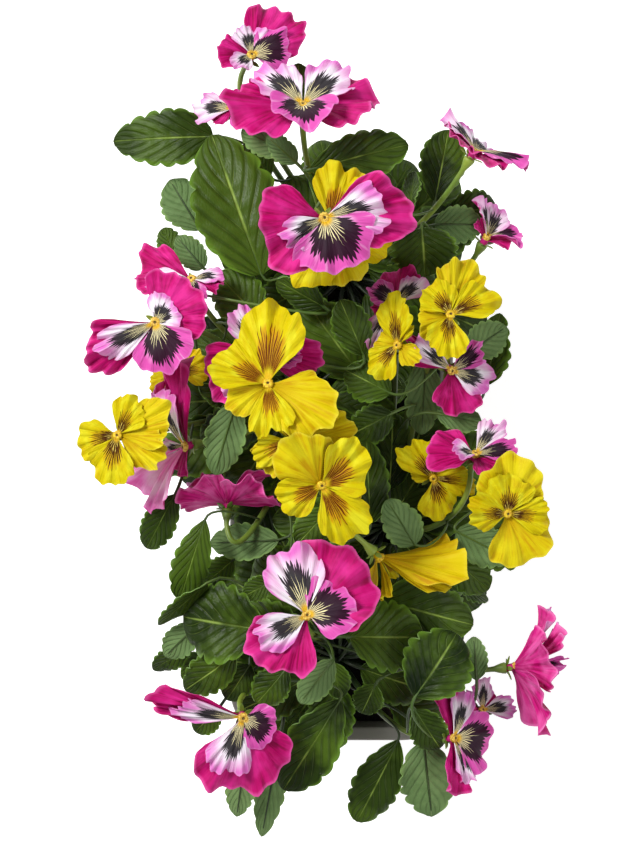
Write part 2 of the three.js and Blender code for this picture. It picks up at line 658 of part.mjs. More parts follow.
function crownSolid(crown, grow) {
  return barSolid(
    [
      new THREE.Vector3(crown.x, crown.y, CROWN_FOOT),
      new THREE.Vector3(crown.x, crown.y, CROWN_TOP + grow),
    ],
    [CROWN_RADIUS + grow, CROWN_RADIUS + grow],
    8,
  );
}

// A leaf: its frame, and places on it by s along the midrib and w across, in millimetres.
function readLeaf(row) {
  const [bush, footX, footY, footZ, tipX, tipY, tipZ, width, roll, arch] = row;
  return layLeaf(bush, sighted(footX, footY, footZ), sighted(tipX, tipY, tipZ), width, roll, arch);
}

function readLowLeaf([bush, way, reach, height]) {
  const crown = crowns.get(bush);
  const out = new THREE.Vector3(Math.cos(radians(way)), Math.sin(radians(way)), 0);
  const foot = crown.clone()
    .addScaledVector(out, LOW_LEAF_FOOT * reach)
    .addScaledVector(UP, height);
  const tip = crown.clone()
    .addScaledVector(out, reach)
    .addScaledVector(UP, height - LOW_LEAF_DROP);
  return layLeaf(bush, foot, tip, LOW_LEAF_WIDTH, 0, 5);
}

function layLeaf(bush, foot, tip, width, roll, arch) {
  const along = tip.clone().sub(foot);
  const length = along.length();
  along.normalize();
  const turn = radians(roll);
  const level = along.clone().cross(UP).normalize();
  const raised = level.clone().cross(along);
  const across = level.clone().multiplyScalar(Math.cos(turn)).addScaledVector(raised, Math.sin(turn));
  const face = raised.clone().multiplyScalar(Math.cos(turn)).addScaledVector(level, -Math.sin(turn));
  return { bush, foot, tip, along, length, width, across, face, raised, arch };
}

function leafPoint(leaf, s, w) {
  const fold = 0.22 * Math.abs(w) - (0.35 * w * w) / leaf.width;
  return leaf.foot.clone()
    .addScaledVector(leaf.along, s * leaf.length)
    .addScaledVector(leaf.raised, 4 * leaf.arch * s * (1 - s))
    .addScaledVector(leaf.across, w)
    .addScaledVector(leaf.face, fold);
}

function leafHalfWidth(leaf, s) {
  return (leaf.width / 2) * Math.sin(Math.PI * s ** 0.8) ** 0.7;
}

// The blade with its scalloped margin, where crests and notches take turns from the foot to the
// tip. Its foot is two points wide, and the flat stalk goes on from there without a joint.
function leafSkin(leaf, grow) {
  const teeth = leaf.length > 42 ? 4 : leaf.length > 24 ? 3 : 2;
  const ribs = teeth > 3 ? 4 : 3;
  const points = [
    leafPoint(leaf, 0, -STALK_HALF_WIDTH - grow),
    leafPoint(leaf, 0, STALK_HALF_WIDTH + grow),
  ];
  for (let k = 1; k < ribs; k += 1) {
    points.push(leafPoint(leaf, k / ribs, 0));
  }
  const tip = points.length;
  points.push(leafPoint(leaf, 1 + grow / leaf.length, 0));
  const faces = [[0, 1, 2]];
  for (const side of [-1, 1]) {
    let outer = side < 0 ? 0 : 1;
    let rib = 1;
    const addFace = (next) => {
      const middle = rib + 1;
      faces.push(side < 0 ? [middle, next, outer] : [middle, outer, next]);
    };
    for (let k = 0; k < 2 * teeth; k += 1) {
      const s = 0.04 + (0.93 * (k + 0.5)) / (2 * teeth);
      while (rib + 1 < ribs && (rib + 0.5) / ribs < s) {
        addFace(rib + 2);
        rib += 1;
      }
      const cut = k % 2 === 0 ? 1.08 : 0.8;
      points.push(leafPoint(leaf, s, side * (cut * leafHalfWidth(leaf, s) + grow)));
      addFace(points.length - 1);
      outer = points.length - 1;
    }
    addFace(tip);
  }
  return sheetSkin(points, faces, LEAF_THICKNESS + 2 * grow, [0]);
}

// The stalk of a leaf leaves a stem of its bush and arrives along the leaf.
function stalkPath(leaf, stems, bend) {
  const own = stems.filter((stem) => stem.bloom.bush === leaf.bush);
  const reach = own.map((stem) => {
    const low = stem.path.filter((point) => point.z < leaf.foot.z - 12);
    const joint = stem.path[Math.max(low.length - 1 - bend.lower, 1)];
    return { joint, span: joint.distanceTo(leaf.foot), stem };
  });
  reach.sort((one, other) => one.span - other.span);
  const { joint, span, stem } = reach[Math.min(bend.other, reach.length - 1)];
  const startHandle = joint.clone()
    .addScaledVector(UP, 0.3 * span + bend.rise)
    .addScaledVector(leaf.across, bend.side);
  const endHandle = leaf.foot.clone()
    .addScaledVector(leaf.along, -0.35 * span)
    .addScaledVector(UP, bend.rise)
    .addScaledVector(leaf.across, bend.side);
  return { stem, path: curvePoints(joint, startHandle, endHandle, leaf.foot, 3) };
}

// The stalk's four corners at each place of its path, turned so that it meets the blade flat.
function stalkRings(leaf, path, grow) {
  const rings = [];
  let side = leaf.across;
  for (let i = path.length - 1; i >= 0; i -= 1) {
    const before = path[Math.max(i - 1, 0)];
    const after = path[Math.min(i + 1, path.length - 1)];
    const along = after.clone().sub(before).normalize();
    side = side.clone().addScaledVector(along, -side.dot(along)).normalize();
    const up = side.clone().cross(along);
    const slim = 1 - STALK_TAPER * (1 - i / (path.length - 1));
    const deep = i === path.length - 1 ? LEAF_THICKNESS / 2 : slim * STALK_HALF_DEPTH;
    const corners = [[-1, 1], [1, 1], [1, -1], [-1, -1]].map(([across, rise]) =>
      path[i].clone()
        .addScaledVector(side, across * (slim * STALK_HALF_WIDTH + grow))
        .addScaledVector(up, rise * (deep + grow)),
    );
    rings.unshift(corners);
  }
  return rings;
}

function ringFaces(one, two) {
  const faces = [];
  for (let k = 0; k < 4; k += 1) {
    const next = (k + 1) % 4;
    faces.push([one[k], one[next], two[next]], [one[k], two[next], two[k]]);
  }
  return faces;
}

function stalkSolid(leaf, path, grow) {
  const points = stalkRings(leaf, path, grow).flat();
  const faces = [[0, 2, 1], [0, 3, 2]];
  for (let i = 0; i + 1 < path.length; i += 1) {
    const ring = [0, 1, 2, 3].map((k) => 4 * i + k);
    faces.push(...ringFaces(ring, ring.map((place) => place + 4)));
  }
  const last = 4 * (path.length - 1);
  faces.push([last, last + 1, last + 2], [last, last + 2, last + 3]);
  return solidOf(points, faces);
}

function leafSolid(leaf, grow) {
  const { points, skin } = leafSkin(leaf, grow);
  const half = points.length / 2;
  let ring = [0, 1, half + 1, half];
  const rings = stalkRings(leaf, leaf.path, grow).slice(0, -1).reverse();
  for (const corners of rings) {
    const first = points.length;
    points.push(...corners);
    const further = [0, 1, 2, 3].map((k) => first + k);
    skin.push(...ringFaces(further, ring));
    ring = further;
  }
  skin.push([ring[0], ring[2], ring[1]], [ring[0], ring[3], ring[2]]);
  return solidOf(points, skin);
}

// Ways to lead a stem or a stalk, from the plain one to the most bent.
function bendChoices() {
  const choices = [];
  for (const other of [0, 1, 2, 3]) {
    for (const lower of [0, 1, 2]) {
      for (const rise of [0, -10, 10, -22, 22]) {
        for (const side of [0, -8, 8, -18, 18, -30, 30]) {
          const cost = 9 * other + 6 * lower + Math.abs(rise) + Math.abs(side);
          choices.push({ other, lower, rise, side, cost });
        }
      }
    }
  }
  return choices.sort((one, two) => one.cost - two.cost);
}

function boxesMeet(one, other) {
  const a = one.boundingBox();
  const b = other.boundingBox();
  return [0, 1, 2].every((axis) => a.min[axis] < b.max[axis] && b.min[axis] < a.max[axis]);
}

// How much of a solid lies inside any of the others.
function crossing(solid, others) {
  return others.reduce(
    (sum, other) => sum + (boxesMeet(solid, other) ? solid.intersect(other).volume() : 0),
    0,
  );
}

const CLEAR = 0.001;
const MOST_TRIES = 80;
const crowns = new Map(BUSHES.map(([name, x, y]) => [name, new THREE.Vector3(x, y, 0)]));
const blooms = BLOOMS.map(readBloom);
const leaves = [...LEAVES.map(readLeaf), ...LOW_LEAVES.map(readLowLeaf)];
leaves.forEach((leaf, index) => {
  leaf.index = index;
});
const trough = troughSolid();
const soil = soilSolid();

// The stems of a bush stand in a ring on its crown, in the order that their blooms lie around it.
for (const [name] of BUSHES) {
  const crown = crowns.get(name);
  const own = blooms.filter((bloom) => bloom.bush === name);
  for (const bloom of own) {
    const neck = fromFace(bloom, 0, 0, HUB_BACK - CALYX_LENGTH);
    bloom.around = Math.atan2(neck.y - crown.y, neck.x - crown.x);
  }
  own.sort((one, other) => one.around - other.around);
  own.forEach((bloom, order) => {
    bloom.place = -180 + (360 * (order + 0.5)) / own.length;
  });
}

for (const bloom of blooms) {
  bloom.solid = bloomSolid(bloom, 0);
  bloom.grown = bloomSolid(bloom, GAP);
}

const choices = bendChoices();
const stems = [];
for (const bloom of blooms) {
  const others = [
    trough,
    soil,
    ...blooms.filter((two) => two !== bloom).map((two) => two.grown),
    ...stems.filter((stem) => stem.bloom.bush !== bloom.bush).map((stem) => stem.grown),
    ...BUSHES.filter(([name]) => name !== bloom.bush)
      .map(([name]) => crownSolid(crowns.get(name), GAP)),
    bloom.solid,
  ];
  let best = null;
  for (const bend of choices.filter((choice) => choice.other === 0 && choice.lower === 0)) {
    const path = stemPath(bloom, crowns.get(bloom.bush), bend);
    const solid = stemSolid(bloom, path, 0);
    const volume = crossing(solid, others);
    if (!best || volume < best.volume) {
      best = { bloom, bend, path, solid, volume };
    }
    if (volume < CLEAR) {
      break;
    }
  }
  best.grown = stemSolid(bloom, best.path, GAP);
  stems.push(best);
}

for (const leaf of leaves) {
  const earlier = leaves.slice(0, leaf.index);
  const own = earlier.filter((two) => two.bush === leaf.bush).map((two) => two.whole);
  const others = [
    trough,
    soil,
    ...blooms.map((bloom) => bloom.grown),
    ...stems.filter((stem) => stem.bloom.bush !== leaf.bush).map((stem) => stem.grown),
    ...earlier.filter((two) => two.bush !== leaf.bush).map((two) => two.stalkGrown),
  ];
  let best = null;
  let tries = 0;
  for (const bend of choices) {
    tries += 1;
    const { stem, path } = stalkPath(leaf, stems, bend);
    const solid = stalkSolid(leaf, path, 0);
    const volume = crossing(solid, others);
    const beside = stems.filter((two) => two !== stem && two.bloom.bush === leaf.bush);
    const fused = volume < CLEAR ? crossing(solid, [...own, ...beside.map((two) => two.solid)]) : 0;
    if (!best || volume < best.volume - CLEAR || (volume < CLEAR && fused < best.fused)) {
      best = { bend, path, volume, fused };
    }
    if (best.volume < CLEAR && (best.fused < CLEAR || tries > MOST_TRIES)) {
      break;
    }
  }
  leaf.path = best.path;
  leaf.whole = leafSolid(leaf, 0);
  leaf.grown = leafSolid(leaf, GAP);
  leaf.stalkGrown = stalkSolid(leaf, best.path, GAP);
}

for (const leaf of leaves) {
  const others = [
    trough,
    soil,
    ...blooms.map((bloom) => bloom.grown),
    ...stems.filter((stem) => stem.bloom.bush !== leaf.bush).map((stem) => stem.grown),
    ...leaves.filter((two) => two.bush !== leaf.bush).map((two) => two.stalkGrown),
    ...leaves.filter((two) => two.index < leaf.index && two.bush !== leaf.bush)
      .map((two) => two.grown),
  ];
  leaf.solid = leaf.whole;
  for (const other of others.filter((solid) => boxesMeet(leaf.whole, solid))) {
    if (leaf.whole.intersect(other).volume() > 0) {
      leaf.solid = leaf.solid.subtract(other);
    }
  }
}

const part = new THREE.Group();
part.name = "potted_pansy_planter";

function addNode(name, colour, solid) {
  const { vertProperties, triVerts } = solid.getMesh();
  const geometry = new THREE.BufferGeometry();
  geometry.setAttribute("position", new THREE.BufferAttribute(vertProperties, 3));
  geometry.setIndex(new THREE.BufferAttribute(triVerts, 1));
  geometry.computeVertexNormals();
  const material = new THREE.MeshStandardMaterial({ color: COLOURS[colour], roughness: 0.6 });
  const mesh = new THREE.Mesh(geometry, material);
  mesh.name = name;
  part.add(mesh);
}

function largestPiece(solid) {
  return solid.decompose().sort((one, other) => other.volume() - one.volume())[0];
}

addNode("trough", "trough", trough);
addNode("planting_mix", "soil", soil);
for (const [name] of BUSHES) {
  const pieces = [
    crownSolid(crowns.get(name), 0),
    ...stems.filter((stem) => stem.bloom.bush === name).map((stem) => stem.solid),
    ...leaves.filter((leaf) => leaf.bush === name).map((leaf) => leaf.solid),
  ];
  const green = largestPiece(Manifold.union(pieces)).simplify(0.004);
  addNode(`bush_${name}`, "green", green);
}
for (const bloom of blooms) {
  addNode(`bloom_${bloom.name}`, bloom.kind, largestPiece(bloom.solid).simplify(0.004));
}

export default part;
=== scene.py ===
# Potted pansy planter: four bushes of artificial pansies standing in one long trough.
# Sizes are millimetres and meshes are metres, +Z up. The origin is on the floor under the middle
# of the trough, whose length runs along Y.
import math

import bpy
import numpy as np
from mathutils import Matrix, Vector, noise


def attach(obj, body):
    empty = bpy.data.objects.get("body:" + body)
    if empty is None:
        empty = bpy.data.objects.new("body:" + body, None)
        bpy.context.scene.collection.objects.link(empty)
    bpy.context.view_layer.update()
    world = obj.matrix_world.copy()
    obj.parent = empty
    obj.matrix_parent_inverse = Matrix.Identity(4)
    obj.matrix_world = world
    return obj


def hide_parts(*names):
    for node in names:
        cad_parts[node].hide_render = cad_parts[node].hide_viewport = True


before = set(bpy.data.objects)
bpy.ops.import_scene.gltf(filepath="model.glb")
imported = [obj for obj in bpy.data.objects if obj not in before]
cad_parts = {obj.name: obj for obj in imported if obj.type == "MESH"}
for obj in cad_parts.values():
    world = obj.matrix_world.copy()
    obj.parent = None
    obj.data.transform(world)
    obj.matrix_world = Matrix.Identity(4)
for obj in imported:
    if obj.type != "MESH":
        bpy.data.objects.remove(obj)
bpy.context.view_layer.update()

# The trough: one moulding of grey satin plastic, tapered down to a flat foot. The rim is flat,
# and a skirt turns down outside it all the way round.
MM = 0.001
DISPLAY_GAMMA = 2.2
TROUGH_HEIGHT = 125
RIM_WIDTH = 9
RIM_DEPTH = 13
RIM_WALL = 2.4
RIM_EDGE = 1.5
SKIRT_EDGE = 0.5
WALL = 2.5
FLOOR_TOP = 6
FOOT_CHAMFER = 3
CORNER_STEPS = 14
EDGE_STEPS = 4
INSIDE_HEIGHTS = (100, 70, 40, 14)

# Length, width and corner radius of the level outlines of the trough, and what they grow by for
# each millimetre that the length grows.
WIDER = np.array([1.0, 1.0, 0.5])
RIM = np.array([360.0, 145.0, 33.0])
MOUTH = RIM - 2 * RIM_WIDTH * WIDER
BODY = MOUTH + 2 * WALL * WIDER
FOOT = np.array([318.0, 108.0, 21.0])
INSIDE_FLOOR = np.array([314.2, 104.2, 18.0])


def dye(red, green, blue):
    """A colour as it looks, 0 to 255, as the shader wants it."""
    shares = (np.array([red, green, blue]) / 255) ** DISPLAY_GAMMA
    return (*shares.tolist(), 1.0)


def start_finish(name, **values):
    """A new material, with the values of its shader that are the same all over."""
    finish = bpy.data.materials.new(name)
    finish.use_nodes = True
    shader = finish.node_tree.nodes["Principled BSDF"]
    for socket, value in values.items():
        shader.inputs[socket.replace("_", " ")].default_value = value
    return finish, shader


class Feed:
    """What comes out of one node. To reckon with feeds is to add the nodes that do so."""

    def __init__(self, tree, socket):
        self.tree, self.socket = tree, socket

    def into(self, shader, name):
        self.tree.links.new(self.socket, shader.inputs[name])

    def reckon(self, what, *others):
        return knot(self.tree, "Math", dict(enumerate([self, *others])), operation=what)

    def __add__(self, other):
        return self.reckon("ADD", other)

    def __sub__(self, other):
        return self.reckon("SUBTRACT", other)

    def __rsub__(self, other):
        return knot(self.tree, "Math", {0: other, 1: self}, operation="SUBTRACT")

    def __mul__(self, other):
        return self.reckon("MULTIPLY", other)

    def __truediv__(self, other):
        return self.reckon("DIVIDE", other)

    def __pow__(self, other):
        return self.reckon("POWER", other)

    def __abs__(self):
        return self.reckon("ABSOLUTE")


def knot(tree, kind, feeds, out=0, **settings):
    """Adds one node, feeds its sockets and gives back what comes out of it."""
    made = tree.nodes.new("ShaderNode" + kind)
    for name, value in settings.items():
        setattr(made, name, value)
    for place, feed in feeds.items():
        if isinstance(feed, Feed):
            tree.links.new(feed.socket, made.inputs[place])
        else:
            made.inputs[place].default_value = feed
    return Feed(tree, made.outputs[out])


def object_place(shader):
    """Where on the planter the surface is."""
    return knot(shader.id_data, "TexCoord", {}, "Object")


def between(value, low, high, start=0.0, end=1.0):
    """Goes softly from start to end while the value goes from low to high."""
    feeds = {0: value, 1: low, 2: high, 3: start, 4: end}
    return knot(value.tree, "MapRange", feeds, interpolation_type="SMOOTHSTEP")


def tint(share, one, other):
    return knot(share.tree, "Mix", {0: share, 6: one, 7: other}, 2, data_type="RGBA")


def mottle(vector, scale, detail=2.0):
    """Soft cloudy variation from 0 to 1."""
    return knot(vector.tree, "TexNoise", {"Vector": vector, "Scale": scale, "Detail": detail})


def roughen(shader, height, distance, strength):
    """Presses a fine relief into a surface; the distance is in millimetres."""
    feeds = {"Height": height, "Distance": distance * MM, "Strength": strength}
    knot(height.tree, "Bump", feeds).into(shader, "Normal")


def outline(shape, z):
    """A level outline with four rounded corners."""
    length, width, radius = shape
    points = []
    for side_x, side_y, start in ((1, 1, 0), (-1, 1, 90), (-1, -1, 180), (1, -1, 270)):
        for k in range(CORNER_STEPS + 1):
            turn = math.radians(start + 90 * k / CORNER_STEPS)
            points.append((
                side_x * (width / 2 - radius) + radius * math.cos(turn),
                side_y * (length / 2 - radius) + radius * math.sin(turn),
                z,
            ))
    return np.array(points)


def inside_outline(z, clearance):
    """The inside of the trough at a height, less a clearance all round."""
    share = (z - FLOOR_TOP) / (TROUGH_HEIGHT - FLOOR_TOP)
    shape = INSIDE_FLOOR + (MOUTH - INSIDE_FLOOR) * share
    return outline(shape - 2 * clearance * WIDER, z)


def ring_faces(rings, count):
    """The faces between rings that follow one another, each of so many points."""
    faces = []
    for low in range(0, (rings - 1) * count, count):
        high = low + count
        for k in range(count):
            after = (k + 1) % count
            faces.append((low + k, low + after, high + after, high + k))
    return faces


def skin_rings(rings, start, end):
    """Skins outlines that follow one another from an underside round to a top."""
    count = len(rings[0])
    faces = ring_faces(len(rings), count)
    last = (len(rings) - 1) * count
    foot = len(rings) * count
    for k in range(count):
        after = (k + 1) % count
        faces.append((foot, after, k))
        faces.append((foot + 1, last + k, last + after))
    return np.vstack([*rings, [start], [end]]), faces


def put_in_scene(name, data):
    thing = bpy.data.objects.new(name, data)
    bpy.context.scene.collection.objects.link(thing)
    return thing


def make_piece(name, points, faces, finishes, crease):
    """One piece of the planter, from points in millimetres."""
    mesh = bpy.data.meshes.new(name)
    mesh.from_pydata((np.asarray(points) * MM).tolist(), [], faces)
    for finish in finishes:
        mesh.materials.append(finish)
    mesh.shade_smooth()
    mesh.set_sharp_from_angle(angle=math.radians(crease))
    piece = put_in_scene(name, mesh)
    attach(piece, "root")
    return piece


def trough_rings():
    """Up the outside, round the skirt and the rim, and down the inside."""
    under_rim = TROUGH_HEIGHT - RIM_WALL
    skirt_foot = TROUGH_HEIGHT - RIM_DEPTH
    skirt = RIM - 2 * RIM_WALL * WIDER
    bevel = 2 * SKIRT_EDGE * WIDER
    quarter = [math.radians(90 * k / EDGE_STEPS) for k in range(EDGE_STEPS + 1)]
    rings = []
    for turn in quarter:
        less = 2 * FOOT_CHAMFER * (1 - math.sin(turn))
        rings.append(outline(FOOT - less * WIDER, FOOT_CHAMFER * (1 - math.cos(turn))))
    for share in (0.25, 0.5, 0.75, 1):
        height = FOOT_CHAMFER + (under_rim - FOOT_CHAMFER) * share
        rings.append(outline(FOOT + (BODY - FOOT) * share, height))
    rings.append(outline(skirt, under_rim))
    rings.append(outline(skirt, skirt_foot + SKIRT_EDGE))
    rings.append(outline(skirt + bevel, skirt_foot))
    rings.append(outline(RIM - bevel, skirt_foot))
    rings.append(outline(RIM, skirt_foot + SKIRT_EDGE))
    for turn in quarter:
        less = 2 * RIM_EDGE * (1 - math.cos(turn))
        rings.append(outline(RIM - less * WIDER, TROUGH_HEIGHT - RIM_EDGE * (1 - math.sin(turn))))
    for turn in quarter:
        more = 2 * RIM_EDGE * (1 - math.sin(turn))
        rings.append(outline(MOUTH + more * WIDER, TROUGH_HEIGHT - RIM_EDGE * (1 - math.cos(turn))))
    for z in (*INSIDE_HEIGHTS, FLOOR_TOP):
        rings.append(inside_outline(z, 0))
    return rings


satin_plastic, shader = start_finish("satin_plastic", Roughness=0.42, Specular_IOR_Level=0.45)
place = object_place(shader)
shade = mottle(place, 14.0, 3.0)
tint(shade, dye(118, 115, 110), dye(134, 130, 124)).into(shader, "Base Color")
between(mottle(place, 60.0, 4.0), 0.35, 0.7, 0.38, 0.5).into(shader, "Roughness")
roughen(shader, mottle(place, 1500.0), 0.05, 0.5)

points, faces = skin_rings(trough_rings(), (0, 0, 0), (0, 0, FLOOR_TOP))
trough = make_piece("moulded_trough", points, faces, [satin_plastic], crease=30)
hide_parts("trough")

# The planting mix: dark crumbly peat that fills the trough to 13 mm under its rim, heaped a
# little along the middle. Clods lie half sunk in its top.
GAP = 0.32
SOIL_EDGE_HEIGHT = 112
SOIL_MOUND = 5
SOIL_RINGS = 34
SOIL_LUMP = 1.3
SOIL_COARSE = 7
SOIL_FINE = 3
SOIL_HALFWAY = 60
CLODS = 420
CLOD_SMALLEST = 1.1
CLOD_SPREAD = 1.9
CLOD_MARGIN = 8


def scatter(seed):
    """The same number for the same seed, spread over 0 to 1."""
    wave = np.sin(np.asarray(seed) * 12.9898) * 43758.5453
    return wave - np.floor(wave)


def soil_height(x, y):
    """The heap of the mix, with its lumps."""
    along = abs(y) / (MOUTH[0] / 2)
    across = abs(x) / (MOUTH[1] / 2)
    heap = SOIL_MOUND * (1 - max(along, across) ** 3)
    lumps = noise.noise((x / SOIL_COARSE, y / SOIL_COARSE, 3.1))
    lumps += 0.6 * noise.noise((x / SOIL_FINE, y / SOIL_FINE, 8.4))
    return SOIL_EDGE_HEIGHT + heap + SOIL_LUMP * lumps * min(1, 6 * (1 - max(along, across)))


def clod(seed):
    """One crumb: a dented ball half sunk in the mix."""
    size = CLOD_SMALLEST + CLOD_SPREAD * scatter(seed) ** 2
    x = (scatter(seed + 0.3) - 0.5) * (MOUTH[1] - 2 * CLOD_MARGIN)
    y = (scatter(seed + 0.6) - 0.5) * (MOUTH[0] - 2 * CLOD_MARGIN)
    middle = np.array([x, y, soil_height(x, y) + 0.3 * size])
    points = []
    for i, ring in enumerate((0.0, 0.65, 1.0, 0.65, 0.0)):
        for k in range(6):
            turn = math.radians(60 * k + 30 * i)
            dent = 0.8 + 0.4 * scatter(seed + 7.7 * i + 1.3 * k)
            points.append(middle + size * dent * np.array([
                ring * math.cos(turn), ring * math.sin(turn), math.cos(math.pi * i / 4) * 0.8,
            ]))
            if ring == 0.0:
                break
    faces = []
    for k in range(6):
        after = (k + 1) % 6
        faces.append((0, 1 + k, 1 + after))
        faces.append((1 + k, 7 + k, 1 + after))
        faces.append((1 + after, 7 + k, 7 + after))
        faces.append((7 + k, 13 + k, 7 + after))
        faces.append((7 + after, 13 + k, 13 + after))
        faces.append((19, 13 + after, 13 + k))
    return np.array(points), faces


def stack(parts):
    """Joins meshes, each points and faces, into one."""
    points, faces, count = [], [], 0
    for own_points, own_faces in parts:
        points.append(own_points)
        faces.extend(tuple(place + count for place in face) for face in own_faces)
        count += len(own_points)
    return np.vstack(points), faces


peat, shader = start_finish("crumbly_peat", Roughness=0.95, Specular_IOR_Level=0.2)
place = object_place(shader)
crumbs = mottle(place, 420.0, 5.0)
fibres = mottle(place, 70.0, 6.0)
dry_peat = tint(between(crumbs, 0.4, 0.65), dye(26, 20, 17), dye(58, 45, 34))
tint(between(fibres, 0.35, 0.75), dye(16, 13, 12), dry_peat).into(shader, "Base Color")
roughen(shader, crumbs, 1.2, 0.8)

side_heights = (FLOOR_TOP + GAP, SOIL_HALFWAY, SOIL_EDGE_HEIGHT)
soil_rings = [inside_outline(z, GAP + 0.1) for z in side_heights]
for k in range(1, SOIL_RINGS):
    ring = soil_rings[2] * (1 - k / SOIL_RINGS)
    ring[:, 2] = [soil_height(x, y) for x, y in ring[:, :2]]
    soil_rings.append(ring)
heap = skin_rings(soil_rings, (0, 0, FLOOR_TOP + GAP), (0, 0, soil_height(0, 0)))
points, faces = stack([heap, *(clod(1 + seed) for seed in range(CLODS))])
mix = make_piece("peat_mix", points, faces, [peat], crease=60)
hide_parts("planting_mix")

# The stems: green plastic over wire. Each bush has a taped bundle for a crown, which is pushed
# into the mix, and a stem bends from there to each bloom and ends in a calyx with five sepals.
EYE = np.array([-14.0, 24.0, 1500.0])
SIGHT_HEIGHT = 230
CROWN_RADIUS = 8
CROWN_FOOT = 52
CROWN_TOP = 124
CROWN_STEPS = 14
STEM_RING = 5.3
STEM_SINK = 4
STEM_HANDLE = 0.35
STEM_LEAN = 0.12
STEM_SIDES = 10
STEM_STEPS = 26
STEM_FOOT_RADIUS = 2.1
STEM_NECK_RADIUS = 1.6
CALYX_RADIUS = 3.6
CALYX_LENGTH = 10
SEPALS = 5
SEPAL_LENGTH = 5.5
SEPAL_WIDTH = 2.8
SEPAL_THICKNESS = 0.5
SEPAL_STEPS = 8
SEPAL_FOOT = 2.2
SEPAL_GAP = 0.2
SEPAL_RISE = 1.6
SEPAL_CUP = 0.3
HUB_BACK = -4.2
UP = np.array([0.0, 0.0, 1.0])

# How the stem of a bloom is led where it isn't plain: how far its handles go up and aside.
STEM_BENDS = {"m04": (0, -8), "m11": (0, 8), "m14": (22, -8), "y06": (0, -30)}

# The crown of each bush, at floor level.
CROWNS = {
    "far": np.array([2.0, 120.0, 0.0]), "left": np.array([-26.0, 42.0, 0.0]),
    "right": np.array([28.0, -38.0, 0.0]), "near": np.array([-2.0, -122.0, 0.0]),
}

